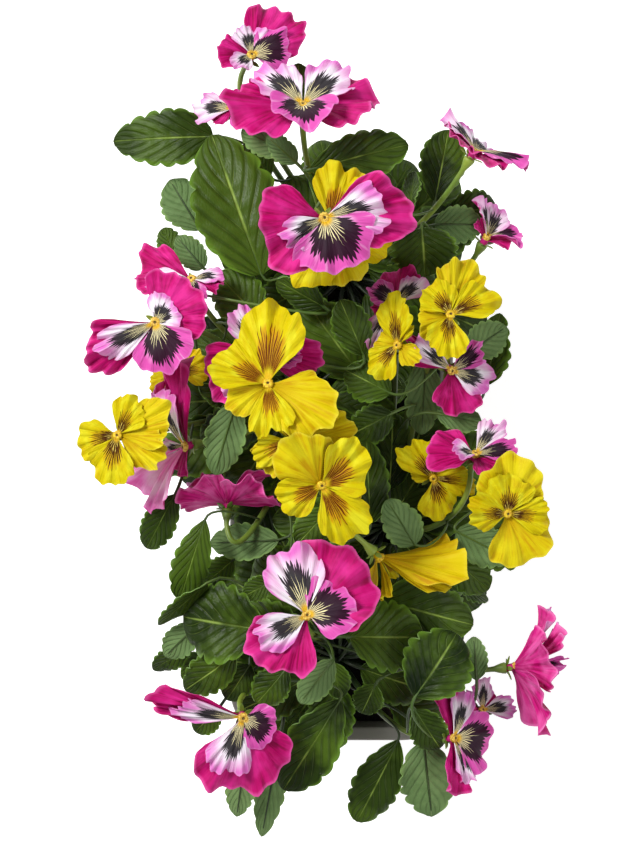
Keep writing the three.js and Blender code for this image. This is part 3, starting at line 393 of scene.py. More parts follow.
# One row a bloom: name, bush, x, y as the eye sees them at SIGHT_HEIGHT, height, tilt from level
# and way it tilts. Then come its lip, two side petals and two back petals: the way of each, its
# length, half the angle it spreads over and, unless it is 0, how far it closes up.
BLOOMS = [
    ["m01", "far", -41.4, 222.3, 240, 30, 50,
     [19, 22.5, 60], [98, 20.5, 46], [-135, 15, 42], [49, 38, 48], [172, 19.5, 62]],
    ["m02", "far", -10.2, 192.3, 262, 40, 90,
     [-93, 28, 84, 14], [135, 34.5, 42], [47, 38.5, 38], [-171, 42, 56], [0, 41.5, 54]],
    ["m03", "far", -52.2, 191.1, 235, 30, 150,
     [-38, 18, 45], [38, 10.5, 40], [174, 25, 34], [200, 14, 50], [60, 12, 50]],
    ["m04", "far", 2.4, 125.1, 292, 12, 20,
     [-64, 35, 70], [12, 37.5, 32], [-146, 27.5, 32], [9, 48, 40], [-165, 42, 56]],
    ["m05", "far", 92.4, 164.7, 238, 69, 58,
     [-33, 31, 50, 4], [150, 26, 46, 7], [58, 23, 50, 4], [-172, 27, 66, 13], [-68, 27, 66, 13]],
    ["m06", "far", 99.6, 113.1, 205, 62, 60,
     [-22, 22, 44, 26], [144, 23, 40, 42], [62, 22, 60, 32], [112, 14, 60, 24], [0, 15, 60, 18]],
    ["m07", "left", -98.4, 62.7, 262, 15, 200,
     [-68, 32.5, 56], [44, 18.5, 66], [-153, 36, 24], [39, 35, 62], [-155, 47, 28]],
    ["m08", "left", -76.8, 87.9, 238, 35, 110,
     [-82, 22, 40], [0, 19, 30], [-176, 27, 30], [-11, 21.5, 30], [161, 38, 38]],
    ["m09", "left", -37.2, 45.9, 258, 10, 270,
     [-9, 26.5, 28], [121, 27.5, 28], [-112, 34, 30], [-9, 36.5, 32], [-145, 37, 46]],
    ["m10", "left", -80.4, -11.7, 225, 64, 190,
     [-128, 45, 42, 20], [99, 40, 32, 4], [-172, 16, 40, 30], [94, 53, 28, -4], [-124, 22, 50, 12]],
    ["m11", "left", -55.8, -45.9, 203, 116, 90,
     [60, 30, 44, 18], [-5, 31, 44, 30], [186, 26, 46, 32], [-34, 36, 62, -2], [208, 33, 62, 2]],
    ["m12", "right", 45.6, 73.5, 230, 30, 95,
     [150, 18.5, 50], [43, 22.5, 34], [-118, 34, 20], [76, 26.5, 44], [-160, 15, 45]],
    ["m13", "right", 78.6, 33.9, 240, 30, -40,
     [46, 22.5, 38], [-16, 25, 38], [144, 37.5, 17], [-73, 28.5, 56], [149, 34, 22]],
    ["m14", "right", 93, -17.1, 245, 45, 80,
     [0, 25, 28], [55, 28.5, 26], [-157, 19.5, 46, 22], [169, 30.5, 56], [-56, 18, 45]],
    ["m15", "near", -7.8, -113.4, 270, 15, 80,
     [22, 27, 72], [108, 39, 42], [-148, 31.5, 32], [45, 45, 66], [-128, 41, 48]],
    ["m16", "near", -46.2, -174.3, 240, 18, -60,
     [-22, 21.5, 66], [166, 42.5, 15], [-112, 36.5, 32], [165, 53.5, 17], [-84, 48.5, 58]],
    ["m17", "near", 79.8, -186.9, 215, 48, 10,
     [-9, 29.5, 66], [77, 31, 24], [-72, 29, 30], [83, 32.5, 40], [-76, 31.5, 44]],
    ["m18", "near", 97.2, -170.1, 178, 25, 45,
     [-130, 12, 40], [6, 20.5, 34], [89, 18.5, 36], [60, 14, 50], [200, 12, 50]],
    ["m19", "near", 115.8, -144.3, 200, 98, 5,
     [5, 37, 50, 66], [112, 40, 42, 44], [84, 41, 20, 30], [164, 38, 64, 27], [-112, 43, 58, 12]],
    ["y01", "left", -31.2, 25.5, 282, 18, 100,
     [85, 45, 40], [153, 35.5, 40], [-82, 34, 32], [-31, 41.5, 46], [200, 26, 45]],
    ["y02", "right", 0.6, -35.1, 290, 20, -30,
     [35, 31, 54], [-59, 35, 40], [-156, 27.5, 38], [0, 26, 40], [119, 33, 58]],
    ["y03", "right", -16.8, -8.1, 262, 15, -120,
     [-158, 22.5, 38], [100, 24, 40], [-70, 24, 40], [16, 37, 36], [-134, 26, 42]],
    ["y04", "left", -121.2, -5.1, 245, 15, 180,
     [-101, 28.5, 48], [-173, 24, 44], [56, 25, 40], [16, 35, 38], [-23, 30.5, 38]],
    ["y05", "left", -84, 32.7, 203, 10, 160,
     [-138, 21.5, 36], [0, 20, 40], [120, 20, 40], [49, 16.5, 40], [170, 20, 40]],
    ["y06", "right", 46.8, 48.9, 260, 27, 190,
     [-132, 22.5, 42], [89, 27.5, 40], [49, 15.5, 20], [-40, 15, 45], [170, 15, 45]],
    ["y07", "right", 78, 66.9, 265, 20, 60,
     [123, 21, 52], [27, 29, 38], [-105, 27.5, 42], [74, 37, 34], [-157, 21.5, 42]],
    ["y08", "right", 67.8, -30.9, 225, 15, -60,
     [-71, 24, 52], [122, 28.5, 38], [-5, 25, 34], [43, 20, 44], [160, 14, 42]],
    ["y09", "right", 112.2, -52.2, 255, 15, -20,
     [89, 25, 54], [177, 26, 38], [-5, 26, 34], [81, 32, 66], [-52, 32.5, 64]],
    ["y10", "near", 35.1, -78.3, 240, 112, -45,
     [-45, 22, 50, 55], [66, 44, 50, 48], [-158, 27, 40, 40], [52, 50, 60, 38], [-125, 31, 50, 26]],
    ["y11", "far", 6, 120.9, 256, 6, 20,
     [-115, 37, 47], [-20, 35, 43], [76, 35, 38], [40, 36, 50], [-70, 35, 54]],
]


def heading(degrees):
    """The level direction that lies some degrees round from +X."""
    turn = math.radians(degrees)
    return np.array([math.cos(turn), math.sin(turn), 0.0])


def sighted(x, y, z):
    """The place at a height that the eye sees where it sees x, y at SIGHT_HEIGHT."""
    scale = (EYE[2] - z) / (EYE[2] - SIGHT_HEIGHT)
    return np.array([EYE[0] + x * scale, EYE[1] + y * scale, z])


class Bloom:
    """Where a bloom sits and which way it faces."""

    def __init__(self, row, index):
        self.name, self.bush, x, y, z, tilt, way, *petals = row
        self.kind = "magenta" if self.name[0] == "m" else "yellow"
        self.petals = [(*petal, 0)[:4] for petal in petals]
        self.index = index
        axis = Vector(heading(way + 90))
        self.turn = np.array(Matrix.Rotation(math.radians(tilt), 3, axis))
        self.face = self.turn @ UP
        self.centre = sighted(x, y, z)

    def from_face(self, places):
        """Places given across the bloom and out of its face, in the planter's own frame."""
        return np.asarray(places) @ self.turn.T + self.centre


def bezier(start, start_handle, end_handle, end, pieces):
    """Places along a smooth curve that its two handles bend."""
    t = np.linspace(0, 1, pieces + 1)[:, None]
    back = 1 - t
    return (
        back**3 * start + 3 * back**2 * t * start_handle
        + 3 * back * t**2 * end_handle + t**3 * end
    )


def unit(vector):
    return vector / np.linalg.norm(vector)


def tube(path, wide, deep=None, sides=STEM_SIDES, side=(1, 0, 0), flutes=0.0):
    """A bar along a path, with its own half width and half depth at each place."""
    deep = wide if deep is None else deep
    side = np.array(side)
    turns = 2 * math.pi * np.arange(sides) / sides
    points = []
    for i, centre in enumerate(path):
        along = unit(path[min(i + 1, len(path) - 1)] - path[max(i - 1, 0)])
        side = side - along * (side @ along)
        if np.linalg.norm(side) < 0.1:
            side = np.array([0.0, 1.0, 0.0]) - along * along[1]
        side = unit(side)
        other = np.cross(along, side)
        flute = 1 + flutes * np.cos(turns * sides / 2)
        points.append(
            centre
            + np.outer(np.cos(turns) * wide[i] * flute, side)
            + np.outer(np.sin(turns) * deep[i] * flute, other)
        )
    faces = ring_faces(len(path), sides)
    last = (len(path) - 1) * sides
    faces.append(tuple(range(sides - 1, -1, -1)))
    faces.append(tuple(range(last, last + sides)))
    return np.vstack(points), faces


def stem_curve(bloom, pieces):
    """From the crown of its bush up and over to the back of the bloom."""
    rise, aside = STEM_BENDS.get(bloom.name, (0, 0))
    start = CROWNS[bloom.bush] + STEM_RING * heading(bloom.place) + UP * (CROWN_TOP - STEM_SINK)
    neck = bloom.from_face([0, 0, HUB_BACK - GAP - CALYX_LENGTH])
    span = np.linalg.norm(neck - start)
    outward = (neck - start) * [1, 1, 0]
    across = unit(np.array([-outward[1], outward[0], 0]))
    pull = STEM_HANDLE * span
    start_handle = start + UP * (pull + rise) + outward * STEM_LEAN + across * aside
    end_handle = neck - bloom.face * pull + across * aside + UP * rise
    return bezier(start, start_handle, end_handle, neck, pieces)


def stem_parts(bloom):
    """The stem, the calyx it swells into and the sepals that stand up behind the petals."""
    path = stem_curve(bloom, STEM_STEPS)
    radii = list(np.linspace(STEM_FOOT_RADIUS, STEM_NECK_RADIUS, len(path)))
    collar = [(0.25, 1.75), (0.5, 2.55), (0.75, 3.3), (0.93, CALYX_RADIUS), (1.0, 3.2)]
    for share, radius in collar:
        height = HUB_BACK - GAP - CALYX_LENGTH * (1 - share)
        path = np.vstack([path, bloom.from_face([0, 0, height])])
        radii.append(radius)
    parts = [tube(path, radii)]
    for k in range(SEPALS):
        way = 360 / SEPALS * k + 360 * scatter(bloom.index + 0.5)
        out, aside = heading(way), heading(way + 90)
        rows = []
        for s in np.linspace(0, 1, SEPAL_STEPS):
            half = SEPAL_WIDTH / 2 * math.sin(math.pi * (0.18 + 0.8 * s)) ** 0.8
            height = HUB_BACK + SEPAL_GAP + SEPAL_RISE * s
            middle = out * (SEPAL_FOOT + SEPAL_LENGTH * s) + UP * height
            rows.append([middle + aside * half * w + UP * SEPAL_CUP * abs(w) for w in (-1, 0, 1)])
        grid = bloom.from_face(np.array(rows))
        parts.append(closed_sheet(grid, SEPAL_THICKNESS))
    return parts


def closed_sheet(grid, thickness):
    """A thin sheet of even thickness on both sides of a grid of points."""
    down = np.gradient(grid, axis=0)
    right = np.gradient(grid, axis=1)
    normal = np.cross(down, right)
    normal /= np.maximum(np.linalg.norm(normal, axis=2, keepdims=True), 1e-9)
    rows, columns = grid.shape[:2]
    count = rows * columns
    points = np.vstack([
        (grid + normal * thickness / 2).reshape(-1, 3),
        (grid - normal * thickness / 2).reshape(-1, 3),
    ])
    at = np.arange(count).reshape(rows, columns)
    upper = np.stack([at[:-1, :-1], at[1:, :-1], at[1:, 1:], at[:-1, 1:]], -1).reshape(-1, 4)
    edge = np.concatenate([at[0, :-1], at[:-1, -1], at[-1, :0:-1], at[:0:-1, 0]])
    after = np.roll(edge, -1)
    rim = np.stack([edge, after, after + count, edge + count], -1)
    faces = np.vstack([upper, upper[:, ::-1] + count, rim])
    return points, faces.tolist()


# The stems of a bush stand in a ring on its crown, in the order of their blooms round it.
blooms = [Bloom(row, index) for index, row in enumerate(BLOOMS)]
for bush, crown in CROWNS.items():
    own = [bloom for bloom in blooms if bloom.bush == bush]
    for bloom in own:
        neck = bloom.from_face([0, 0, HUB_BACK - CALYX_LENGTH])
        bloom.around = math.atan2(neck[1] - crown[1], neck[0] - crown[0])
    own.sort(key=lambda bloom: bloom.around)
    for order, bloom in enumerate(own):
        bloom.place = -180 + 360 * (order + 0.5) / len(own)


def stem_finish(name, painted_shade_colour, dark, pale, low, high):
    """Green plastic with painted shade that darkens it near the mix; low and high are metres above
    the floor.
    """
    finish, shader = start_finish(name, Roughness=0.5)
    place = object_place(shader)
    green = tint(between(mottle(place, 45.0, 3.0), 0.35, 0.65), dark, pale)
    # Painted shade: below the low height the stem goes to the dark colour, as it lies deep in the
    # bush.
    above_painted_shade = between(knot(place.tree, "SeparateXYZ", {0: place}, 2), low, high)
    tint(above_painted_shade, painted_shade_colour, green).into(shader, "Base Color")
    roughen(shader, mottle(place, 900.0), 0.12, 0.5)
    return finish


# The first colour of each is the painted shade low in the bush.
stem_green = stem_finish(
    "stem_green", dye(38, 58, 16), dye(92, 118, 34), dye(132, 152, 56), 0.15, 0.24
)
stalk_green = stem_finish(
    "stalk_green", dye(24, 38, 10), dye(58, 84, 24), dye(84, 108, 36), 0.17, 0.25
)


def crown_part(crown):
    """The stems of a bush taped into one fluted bundle."""
    path = [crown + UP * z for z in np.linspace(CROWN_FOOT, CROWN_TOP, CROWN_STEPS)]
    radii = np.linspace(0.86, 0.94, CROWN_STEPS) * CROWN_RADIUS
    return tube(path, radii, sides=24, flutes=0.07)


# The leaves: polyester cloth pressed with its veins, dark and satin above and paler below. Each
# has six shallow rounded lobes a side, and its flat stalk grows from a stem or from the crown.
LEAF_THICKNESS = 0.5
LEAF_LOBES = 6
LOBES_FOOT = 0.04
LOBES_SPAN = 0.93
LEAF_STEPS = 60
LEAF_COLUMNS = 11
LOW_STEPS = 30
LOW_COLUMNS = 7
VEIN_SLANT = 0.5
VEIN_BEND = 1.2
HALF_LAID = 0.45
FULL_TURN = 6.28
STALK_HALF_WIDTH = 1.1
STALK_HALF_DEPTH = 0.8
STALK_TAPER = 0.35
STALK_STEPS = 11
STALK_DROP = 12
STALK_SINK = 3
STALK_RISE = 0.3
STALK_HANDLE = 0.35
RIB_STEPS = 10
RIB_SINK = 0.35

# How high the long and the short waves, the cups of the lobes and the cloth between the veins
# stand on a full-size leaf, and how steeply a blade folds up from its midrib and droops again.
FULL_SIZE_WIDTH = 40
LEAF_WAVE = 3.2
LEAF_RIPPLE = 1.8
LEAF_CUP = 0.6
LEAF_PUFF = 0.9
LEAF_FOLD = 0.22
LEAF_DROOP = 0.35

# The leaves by bush, one row a leaf: foot x, y, height, tip x, y, height, width, roll about its
# midrib (180 turns its pale back up) and how far the midrib arches.
LEAVES = [
    ("far", [
        (-64, 174, 208, -124, 171, 198, 36, 0, 4), (-35, 91, 230, -65, 175, 220, 54, 0, 6),
        (-72, 118, 200, -90, 148, 195, 30, 180, 3), (-20, 164, 224, -47, 178, 222, 20, 180, 2),
        (-14, 158, 236, -32, 174, 236, 18, 215, 2), (-30, 150, 198, -45, 170, 192, 22, 0, 2),
        (-12, 190, 212, -13, 218, 222, 21, 0, 2), (-6, 154, 248, 53, 169, 246, 30, 0, 4),
        (0, 135, 222, 22, 165, 220, 34, 0, 3), (69, 135, 215, 77, 178, 210, 29, 0, 3),
        (61, 119, 222, 63, 90, 214, 42, 0, 3), (69, 121, 208, 98, 121, 200, 24, 180, 3),
        (75, 128, 196, 106, 131, 188, 26, 0, 3), (54, 130, 234, 57, 153, 238, 20, 60, 2),
    ]),
    ("left", [
        (26, 43, 246, 12, 76, 250, 24, 0, 3), (24, 31, 225, -10, 76, 222, 38, 0, 4),
    ]),
    ("right", [
        (42, 20, 240, 15, 34, 238, 26, 0, 3), (43, 8, 228, 18, -5, 224, 26, 20, 3),
        (63, 42, 213, 61, -5, 205, 23, 180, 3), (90, 45, 212, 112, 60, 208, 24, 180, 2),
        (100, 25, 198, 108, 68, 196, 26, 35, 3), (70, 8, 222, 97, 2, 220, 18, 180, 2),
        (57, -71, 235, 40, -44, 240, 24, 180, 3), (30, -58, 225, 28, -8, 225, 26, 0, 4),
        (82, -63, 228, 115, -80, 220, 26, 180, 3), (75, -75, 208, 101, -98, 198, 26, 0, 3),
        (78, -93, 192, 101, -104, 185, 20, 60, 2),
    ]),
    ("near", [
        (37, -104, 212, 92, -119, 208, 42, 0, 4), (18, -126, 225, 62, -126, 220, 44, 0, 4),
        (57, -162, 235, 82, -124, 232, 45, 0, 4), (94, -152, 208, 92, -126, 206, 16, 180, 2),
        (8, -142, 204, 12, -163, 200, 18, 0, 2), (33, -155, 206, 25, -172, 200, 20, 0, 2),
        (47, -188, 190, 22, -237, 174, 30, 0, 4), (62, -190, 201, 67, -234, 190, 36, 180, 4),
        (57, -170, 216, 72, -193, 210, 24, 0, 3), (12, -164, 215, -22, -218, 200, 36, 0, 4),
        (-24, -187, 185, -35, -246, 165, 20, 180, 4), (-45, -200, 190, -50, -234, 178, 20, 180, 3),
        (-51, -137, 215, -81, -158, 205, 26, 0, 3), (-60, -168, 191, -75, -183, 185, 18, 0, 2),
        (-42, -143, 207, -56, -164, 205, 20, 0, 2), (-20, -145, 216, -38, -166, 212, 24, 0, 2),
        (8, -140, 230, -12, -166, 228, 20, 180, 2),
    ]),
    ("left", [
        (-87, -41, 205, -104, -73, 190, 22, 0, 3), (-69, -56, 217, -84, -104, 202, 24, 0, 4),
        (-52, -80, 192, -70, -95, 186, 18, 0, 2),
    ]),
    ("near", [
        (-32, -122, 225, -82, -114, 212, 50, 0, 5), (-68, -94, 222, -97, -119, 212, 20, 60, 3),
        (-73, -118, 206, -93, -138, 199, 20, 180, 2), (-78, -131, 184, -100, -146, 176, 18, 30, 2),
        (-54, -131, 191, -83, -151, 183, 20, 0, 2),
    ]),
    ("left", [
        (-25, -68, 201, -66, -70, 192, 24, 180, 3),
    ]),
    ("right", [
        (5, -50, 232, -14, -71, 230, 22, 0, 2),
    ]),
    ("left", [
        (-28, -92, 214, -46, -102, 210, 16, 0, 2), (-51, 13, 236, -63, -29, 226, 25, 180, 3),
        (-36, 64, 226, -62, 92, 222, 32, 0, 3), (2, 72, 240, -26, 88, 240, 22, 35, 2),
        (-70, 95, 208, -86, 114, 202, 18, 180, 2), (-85, 98, 196, -94, 119, 190, 16, 0, 2),
    ]),
]

# The leaves that lean out from a crown: bush, way, how far out the tip lies, height. Those of the
# first table stand in the CAD too. The second adds more, most of them over the long rims.
LOW_LEAVES = [
    ("far", 15, 78, 146), ("far", 60, 84, 160), ("far", 100, 90, 146), ("far", 140, 84, 160),
    ("left", 120, 80, 160), ("left", 165, 88, 148), ("left", 205, 84, 160),
    ("right", 45, 80, 160), ("right", 5, 84, 148), ("right", -40, 80, 160),
    ("near", 10, 82, 148), ("near", -35, 80, 160), ("near", -130, 82, 160),
    ("near", -165, 80, 148),
]
RIM_LEAVES = [
    ("left", -122, 90, 160), ("left", -108, 100, 170), ("left", -138, 80, 150),
    ("left", -95, 70, 160), ("near", 130, 108, 160), ("near", 116, 98, 168),
    ("near", 145, 88, 150), ("near", 98, 74, 160), ("right", -58, 76, 172),
    ("right", 20, 78, 168), ("right", -20, 72, 176), ("near", 62, 80, 172),
    ("far", -35, 76, 168), ("far", -62, 78, 160), ("right", 70, 78, 164), ("far", 190, 72, 168),
    ("far", 42, 96, 162), ("far", 24, 90, 170), ("left", -125, 72, 182), ("near", 125, 84, 184),
    ("left", 182, 84, 172), ("left", 215, 92, 166), ("left", 150, 84, 178),
    ("left", 205, 100, 176), ("far", -22, 96, 176), ("far", 196, 84, 178),
    ("right", -8, 92, 178), ("right", 38, 88, 182),
]

# The share of the way out where the foot of such a leaf lies, the drop to its tip, its width and
# the arch of its midrib.
LOW_LEAF = (0.5, 12, 32, 5)
RIM_LEAF = (0.45, 16, 38, 6)

# The leaves low in each bush, which close the planter over its mix: how many a bush, their width
# and arch, how far out the foot lies, how much farther the tip, the lowest and how much they
# rise, the drop to the tip and how much they stray. A circle over the near rim is left open.
UNDER_LEAVES = 34
UNDER_WIDTH = 32
UNDER_ARCH = 4
UNDER_FOOT = 10
UNDER_REACH = 38
UNDER_LOWEST = 134
UNDER_RISE = 58
UNDER_DROP = 14
UNDER_STRAY = 16
GOLDEN_TURN = 2.618
OPEN_CORNER = (26, -172, 30)

# A stalk joins a stem where two of its pieces meet in the CAD. This is how one is led where it
# isn't plain: which stem it joins, nearest first, how much lower and, unless both are 0, how far
# its handles go up and aside.
CAD_STEM_PIECES = 5
STALK_BENDS = {
    2: (0, 1), 5: (1, 0), 6: (0, 2), 8: (1, 1), 10: (0, 1), 11: (0, 1), 12: (0, 1), 20: (0, 1),
    21: (1, 2), 22: (0, 0, 0, -8), 24: (1, 0), 30: (0, 1), 34: (1, 1), 36: (2, 0), 38: (0, 1),
    39: (0, 2), 40: (2, 0, 0, 8), 41: (0, 0, -22, 8), 42: (1, 0, 0, -8), 43: (0, 0, -22, -8),
    47: (0, 0, -22, -8), 48: (0, 2, -10, -8), 49: (2, 0, 0, -8), 50: (3, 0), 51: (3, 0),
    52: (0, 1), 54: (1, 0), 57: (2, 0), 58: (0, 0, 0, -8), 63: (2, 0), 64: (1, 0),
    65: (0, 0, 0, -8), 66: (1, 0), 68: (1, 0), 72: (1, 0), 73: (1, 0, -22, 0),
}


class Leaf:
    """Where a leaf lies: along its midrib, across it and out of its upper side."""

    def __init__(self, index, bush, foot, tip, width, roll, arch, low=False):
        self.index, self.bush, self.foot = index, bush, foot
        self.width, self.arch, self.low = width, arch, low
        self.length = np.linalg.norm(tip - foot)
        self.along = (tip - foot) / self.length
        level = unit(np.cross(self.along, UP))
        self.raised = np.cross(level, self.along)
        turn = math.radians(roll)
        self.across = level * math.cos(turn) + self.raised * math.sin(turn)
        self.face = self.raised * math.cos(turn) - level * math.sin(turn)

    def point(self, s, w, lift=0.0):
        """A place on the blade: s along the midrib, w across it, lift out of its upper side."""
        s, w, lift = (np.asarray(value, float)[..., None] for value in (s, w, lift))
        fold = LEAF_FOLD * np.abs(w) - LEAF_DROOP * w * w / self.width + lift
        return (
            self.foot + self.along * s * self.length + self.across * w
            + self.raised * 4 * self.arch * s * (1 - s) + self.face * fold
        )


def lobed_blade(leaf, steps, columns):
    """The blade: lobes along the margin, a groove over each vein and cloth puffed up between."""
    s = np.linspace(0.0, 1.0, steps)[None, :]
    t = np.linspace(-1.0, 1.0, columns)[:, None]
    t = np.sign(t) * np.abs(t) ** 0.85
    lobe = (s - LOBES_FOOT) / LOBES_SPAN * LEAF_LOBES
    own = scatter(np.floor(lobe) + 31.7 * leaf.index + 7 * np.sign(t))
    notch = (1 - np.abs(np.sin(math.pi * lobe))) ** 1.3 * (0.6 + 0.8 * own) * (0.4 + 0.6 * s)
    bluff = 0.8 + 0.4 * float(scatter(leaf.index + 0.7))
    swell = np.sin(math.pi * np.clip(s, 0, 1) ** bluff).clip(0) ** 0.56
    half = np.maximum(leaf.width / 2 * swell, 0.7 * (1 - s) + 0.05)
    w = t * half * (1.05 - (0.04 + 0.2 * notch) * np.abs(t) ** 5)
    vein = lobe + LEAF_LOBES * VEIN_SLANT * (1 - np.abs(t)) ** VEIN_BEND - 0.5
    puff = (0.5 - 0.5 * np.cos(2 * math.pi * vein)) ** 0.5
    size = leaf.width / FULL_SIZE_WIDTH
    inner = (1 - np.abs(t) ** 6) * np.minimum(1, 5 * np.abs(t))
    phase = FULL_TURN * scatter(leaf.index + 1)
    wave = LEAF_WAVE * np.sin(5 * s + phase + 0.8 * np.sign(t))
    wave = wave + LEAF_RIPPLE * np.sin(11 * s + 2 * phase)
    cup = LEAF_CUP * np.cos(2 * math.pi * lobe) * np.abs(t) ** 4
    lift = size * (LEAF_PUFF * puff * inner * swell + (wave + cup) * np.abs(t) ** 2.4 * swell)
    grid = leaf.point(np.broadcast_to(s, w.shape), w, lift)
    points, faces = closed_sheet(grid, LEAF_THICKNESS)
    laid = np.stack([leaf.index + 0.5 + HALF_LAID * t + 0 * s, s + 0 * t], -1).reshape(-1, 2)
    return points, faces, np.vstack([laid, laid])


def stalk_part(leaf):
    """The stalk, which runs on under the blade as its midrib."""
    bend = STALK_BENDS.get(leaf.index, (0, 0))
    other, lower, rise, aside = (*bend, 0, 0)[:4]
    if leaf.low:
        joint = CROWNS[leaf.bush] + UP * (CROWN_TOP - STALK_SINK)
    else:
        joints = []
        for bloom in blooms:
            if bloom.bush == leaf.bush:
                path = stem_curve(bloom, CAD_STEM_PIECES)
                below = int(np.sum(path[:, 2] < leaf.foot[2] - STALK_DROP))
                place = path[max(below - 1 - lower, 1)]
                joints.append((np.linalg.norm(place - leaf.foot), bloom.index, place))
        joint = sorted(joints, key=lambda row: row[:2])[other][2]
    span = np.linalg.norm(joint - leaf.foot)
    start_handle = joint + UP * (STALK_RISE * span + rise) + leaf.across * aside
    end_handle = leaf.foot - leaf.along * STALK_HANDLE * span + UP * rise + leaf.across * aside
    path = bezier(joint, start_handle, end_handle, leaf.foot, STALK_STEPS)
    slim = np.linspace(1 - STALK_TAPER, 1, len(path))
    ribs = np.linspace(0.08, 0.9, RIB_STEPS)
    path = np.vstack([path, leaf.point(ribs, 0 * ribs, -RIB_SINK)])
    slim = np.concatenate([slim, np.linspace(0.8, 0.2, RIB_STEPS)])
    return tube(path, slim * STALK_HALF_WIDTH, slim * STALK_HALF_DEPTH, 8, leaf.across)


leaves = []


def add_leaning_leaf(bush, way, reach, height, form, low):
    """A leaf whose midrib points away from the crown of its bush."""
    foot_share, drop, width, arch = form
    crown, out = CROWNS[bush], heading(way)
    foot = crown + out * foot_share * reach + UP * height
    tip = crown + out * reach + UP * (height - drop)
    leaves.append(Leaf(len(leaves), bush, foot, tip, width, 0, arch, low))


for bush, rows in LEAVES:
    for *ends, width, roll, arch in rows:
        foot, tip = sighted(*ends[:3]), sighted(*ends[3:])
        leaves.append(Leaf(len(leaves), bush, foot, tip, width, roll, arch))
for row in LOW_LEAVES:
    add_leaning_leaf(*row, LOW_LEAF, False)
for number, (bush, crown) in enumerate(CROWNS.items()):
    for k in range(UNDER_LEAVES):
        seed = 100 * number + k
        chance = [float(scatter(seed + part)) for part in (0.1, 0.2, 0.3, 0.4)]
        out = heading(360 * (k + 0.6 * chance[0]) / UNDER_LEAVES * GOLDEN_TURN)
        near_by = UNDER_FOOT + UNDER_STRAY * chance[1]
        reach = near_by + UNDER_REACH + UNDER_STRAY * chance[2]
        height = UNDER_LOWEST + UNDER_RISE * k / UNDER_LEAVES
        foot = crown + out * near_by + UP * height
        tip = crown + out * reach + UP * (height - UNDER_DROP + UNDER_STRAY * chance[3])
        x, y, room = OPEN_CORNER
        if math.hypot(tip[0] - x, tip[1] - y) > room:
            leaf = Leaf(len(leaves), bush, foot, tip, UNDER_WIDTH, 0, UNDER_ARCH, True)
            leaves.append(leaf)
for row in RIM_LEAVES:
    add_leaning_leaf(*row, RIM_LEAF, True)


def across_and_along(shader, name):
    """Where a place lies on a leaf or petal: -1 to 1 across it, 0 to 1 along it, and which one."""
    laid = knot(shader.id_data, "UVMap", {}, uv_map=name)
    x, y = (knot(laid.tree, "SeparateXYZ", {0: laid}, out) for out in (0, 1))
    return (x.reckon("FRACT") - 0.5) / HALF_LAID, y, x


def streaks(x, y, across, along, detail=2.0):
    """Variation drawn out along a leaf or petal, and different on each of them."""
    vector = knot(x.tree, "CombineXYZ", {0: x * across, 1: y * along})
    return mottle(vector, 1.0, detail)


def leaf_finish(name, deep, fresh, margin, rib, roughness):
    """Pressed cloth: veins and midrib, painted shade in the grooves beside them, a margin and pale
    patches.
    """
    finish, shader = start_finish(name, Roughness=roughness, Specular_IOR_Level=0.14)
    t, s, x = across_and_along(shader, "laid")
    place = object_place(shader)
    side = abs(t)
    lobe = (s - LOBES_FOOT) * (LEAF_LOBES / LOBES_SPAN)
    slant = (1.0 - side) ** VEIN_BEND * (LEAF_LOBES * VEIN_SLANT)
    off_vein = abs((lobe + slant).reckon("FRACT") - 0.5)
    on_vein = between(off_vein, 0.0, 0.06, 1.0, 0.0) * between(side, 0.1, 0.9, 0.4, 0.0)
    marks = on_vein.reckon("MAXIMUM", between(side, 0.01, 0.05, 1.0, 0.0))
    cloud = between(mottle(place, 40.0, 4.0), 0.34, 0.66)
    own = knot(x.tree, "CombineXYZ", {0: x.reckon("FLOOR") * 3.7})
    lighter = between(mottle(own, 1.0), 0.38, 0.66, 0.0, 0.75)
    colour = tint((cloud * 0.7).reckon("MAXIMUM", lighter), deep, fresh)
    # Painted shade: darker in the grooves along each vein.
    groove = between(off_vein, 0.03, 0.3, 0.4, 0.0) * between(side, 0.05, 0.2)
    colour = tint(groove, colour, deep)
    colour = tint(between(side + cloud * 0.12, 0.82, 1.1), colour, margin)
    patchy = between(mottle(place, 55.0), 0.4, 0.65, 0.15, 0.75)
    tint(marks * patchy, colour, rib).into(shader, "Base Color")
    nerves = streaks(x, s, 60.0, 40.0, 4.0)
    roughen(shader, nerves * 0.5 - marks - groove * 1.5, 0.7, 0.8)
    return finish


leaf_top = leaf_finish(
    "leaf_top", dye(16, 30, 3), dye(76, 100, 30), dye(88, 120, 38), dye(146, 172, 80), 0.36
)
leaf_back = leaf_finish(
    "leaf_back", dye(78, 102, 60), dye(114, 140, 88), dye(116, 146, 82), dye(152, 172, 118), 0.6
)


def lay_and_pick(piece, name, laid, picks):
    """Says where each point lies on its leaf or petal, and which finish each face has."""
    mesh = piece.data
    corners = np.empty(len(mesh.loops), dtype=np.int32)
    mesh.loops.foreach_get("vertex_index", corners)
    layer = mesh.uv_layers.new(name=name)
    layer.data.foreach_set("uv", laid[corners].astype(np.float32).ravel())
    mesh.polygons.foreach_set("material_index", np.asarray(picks, dtype=np.int32))


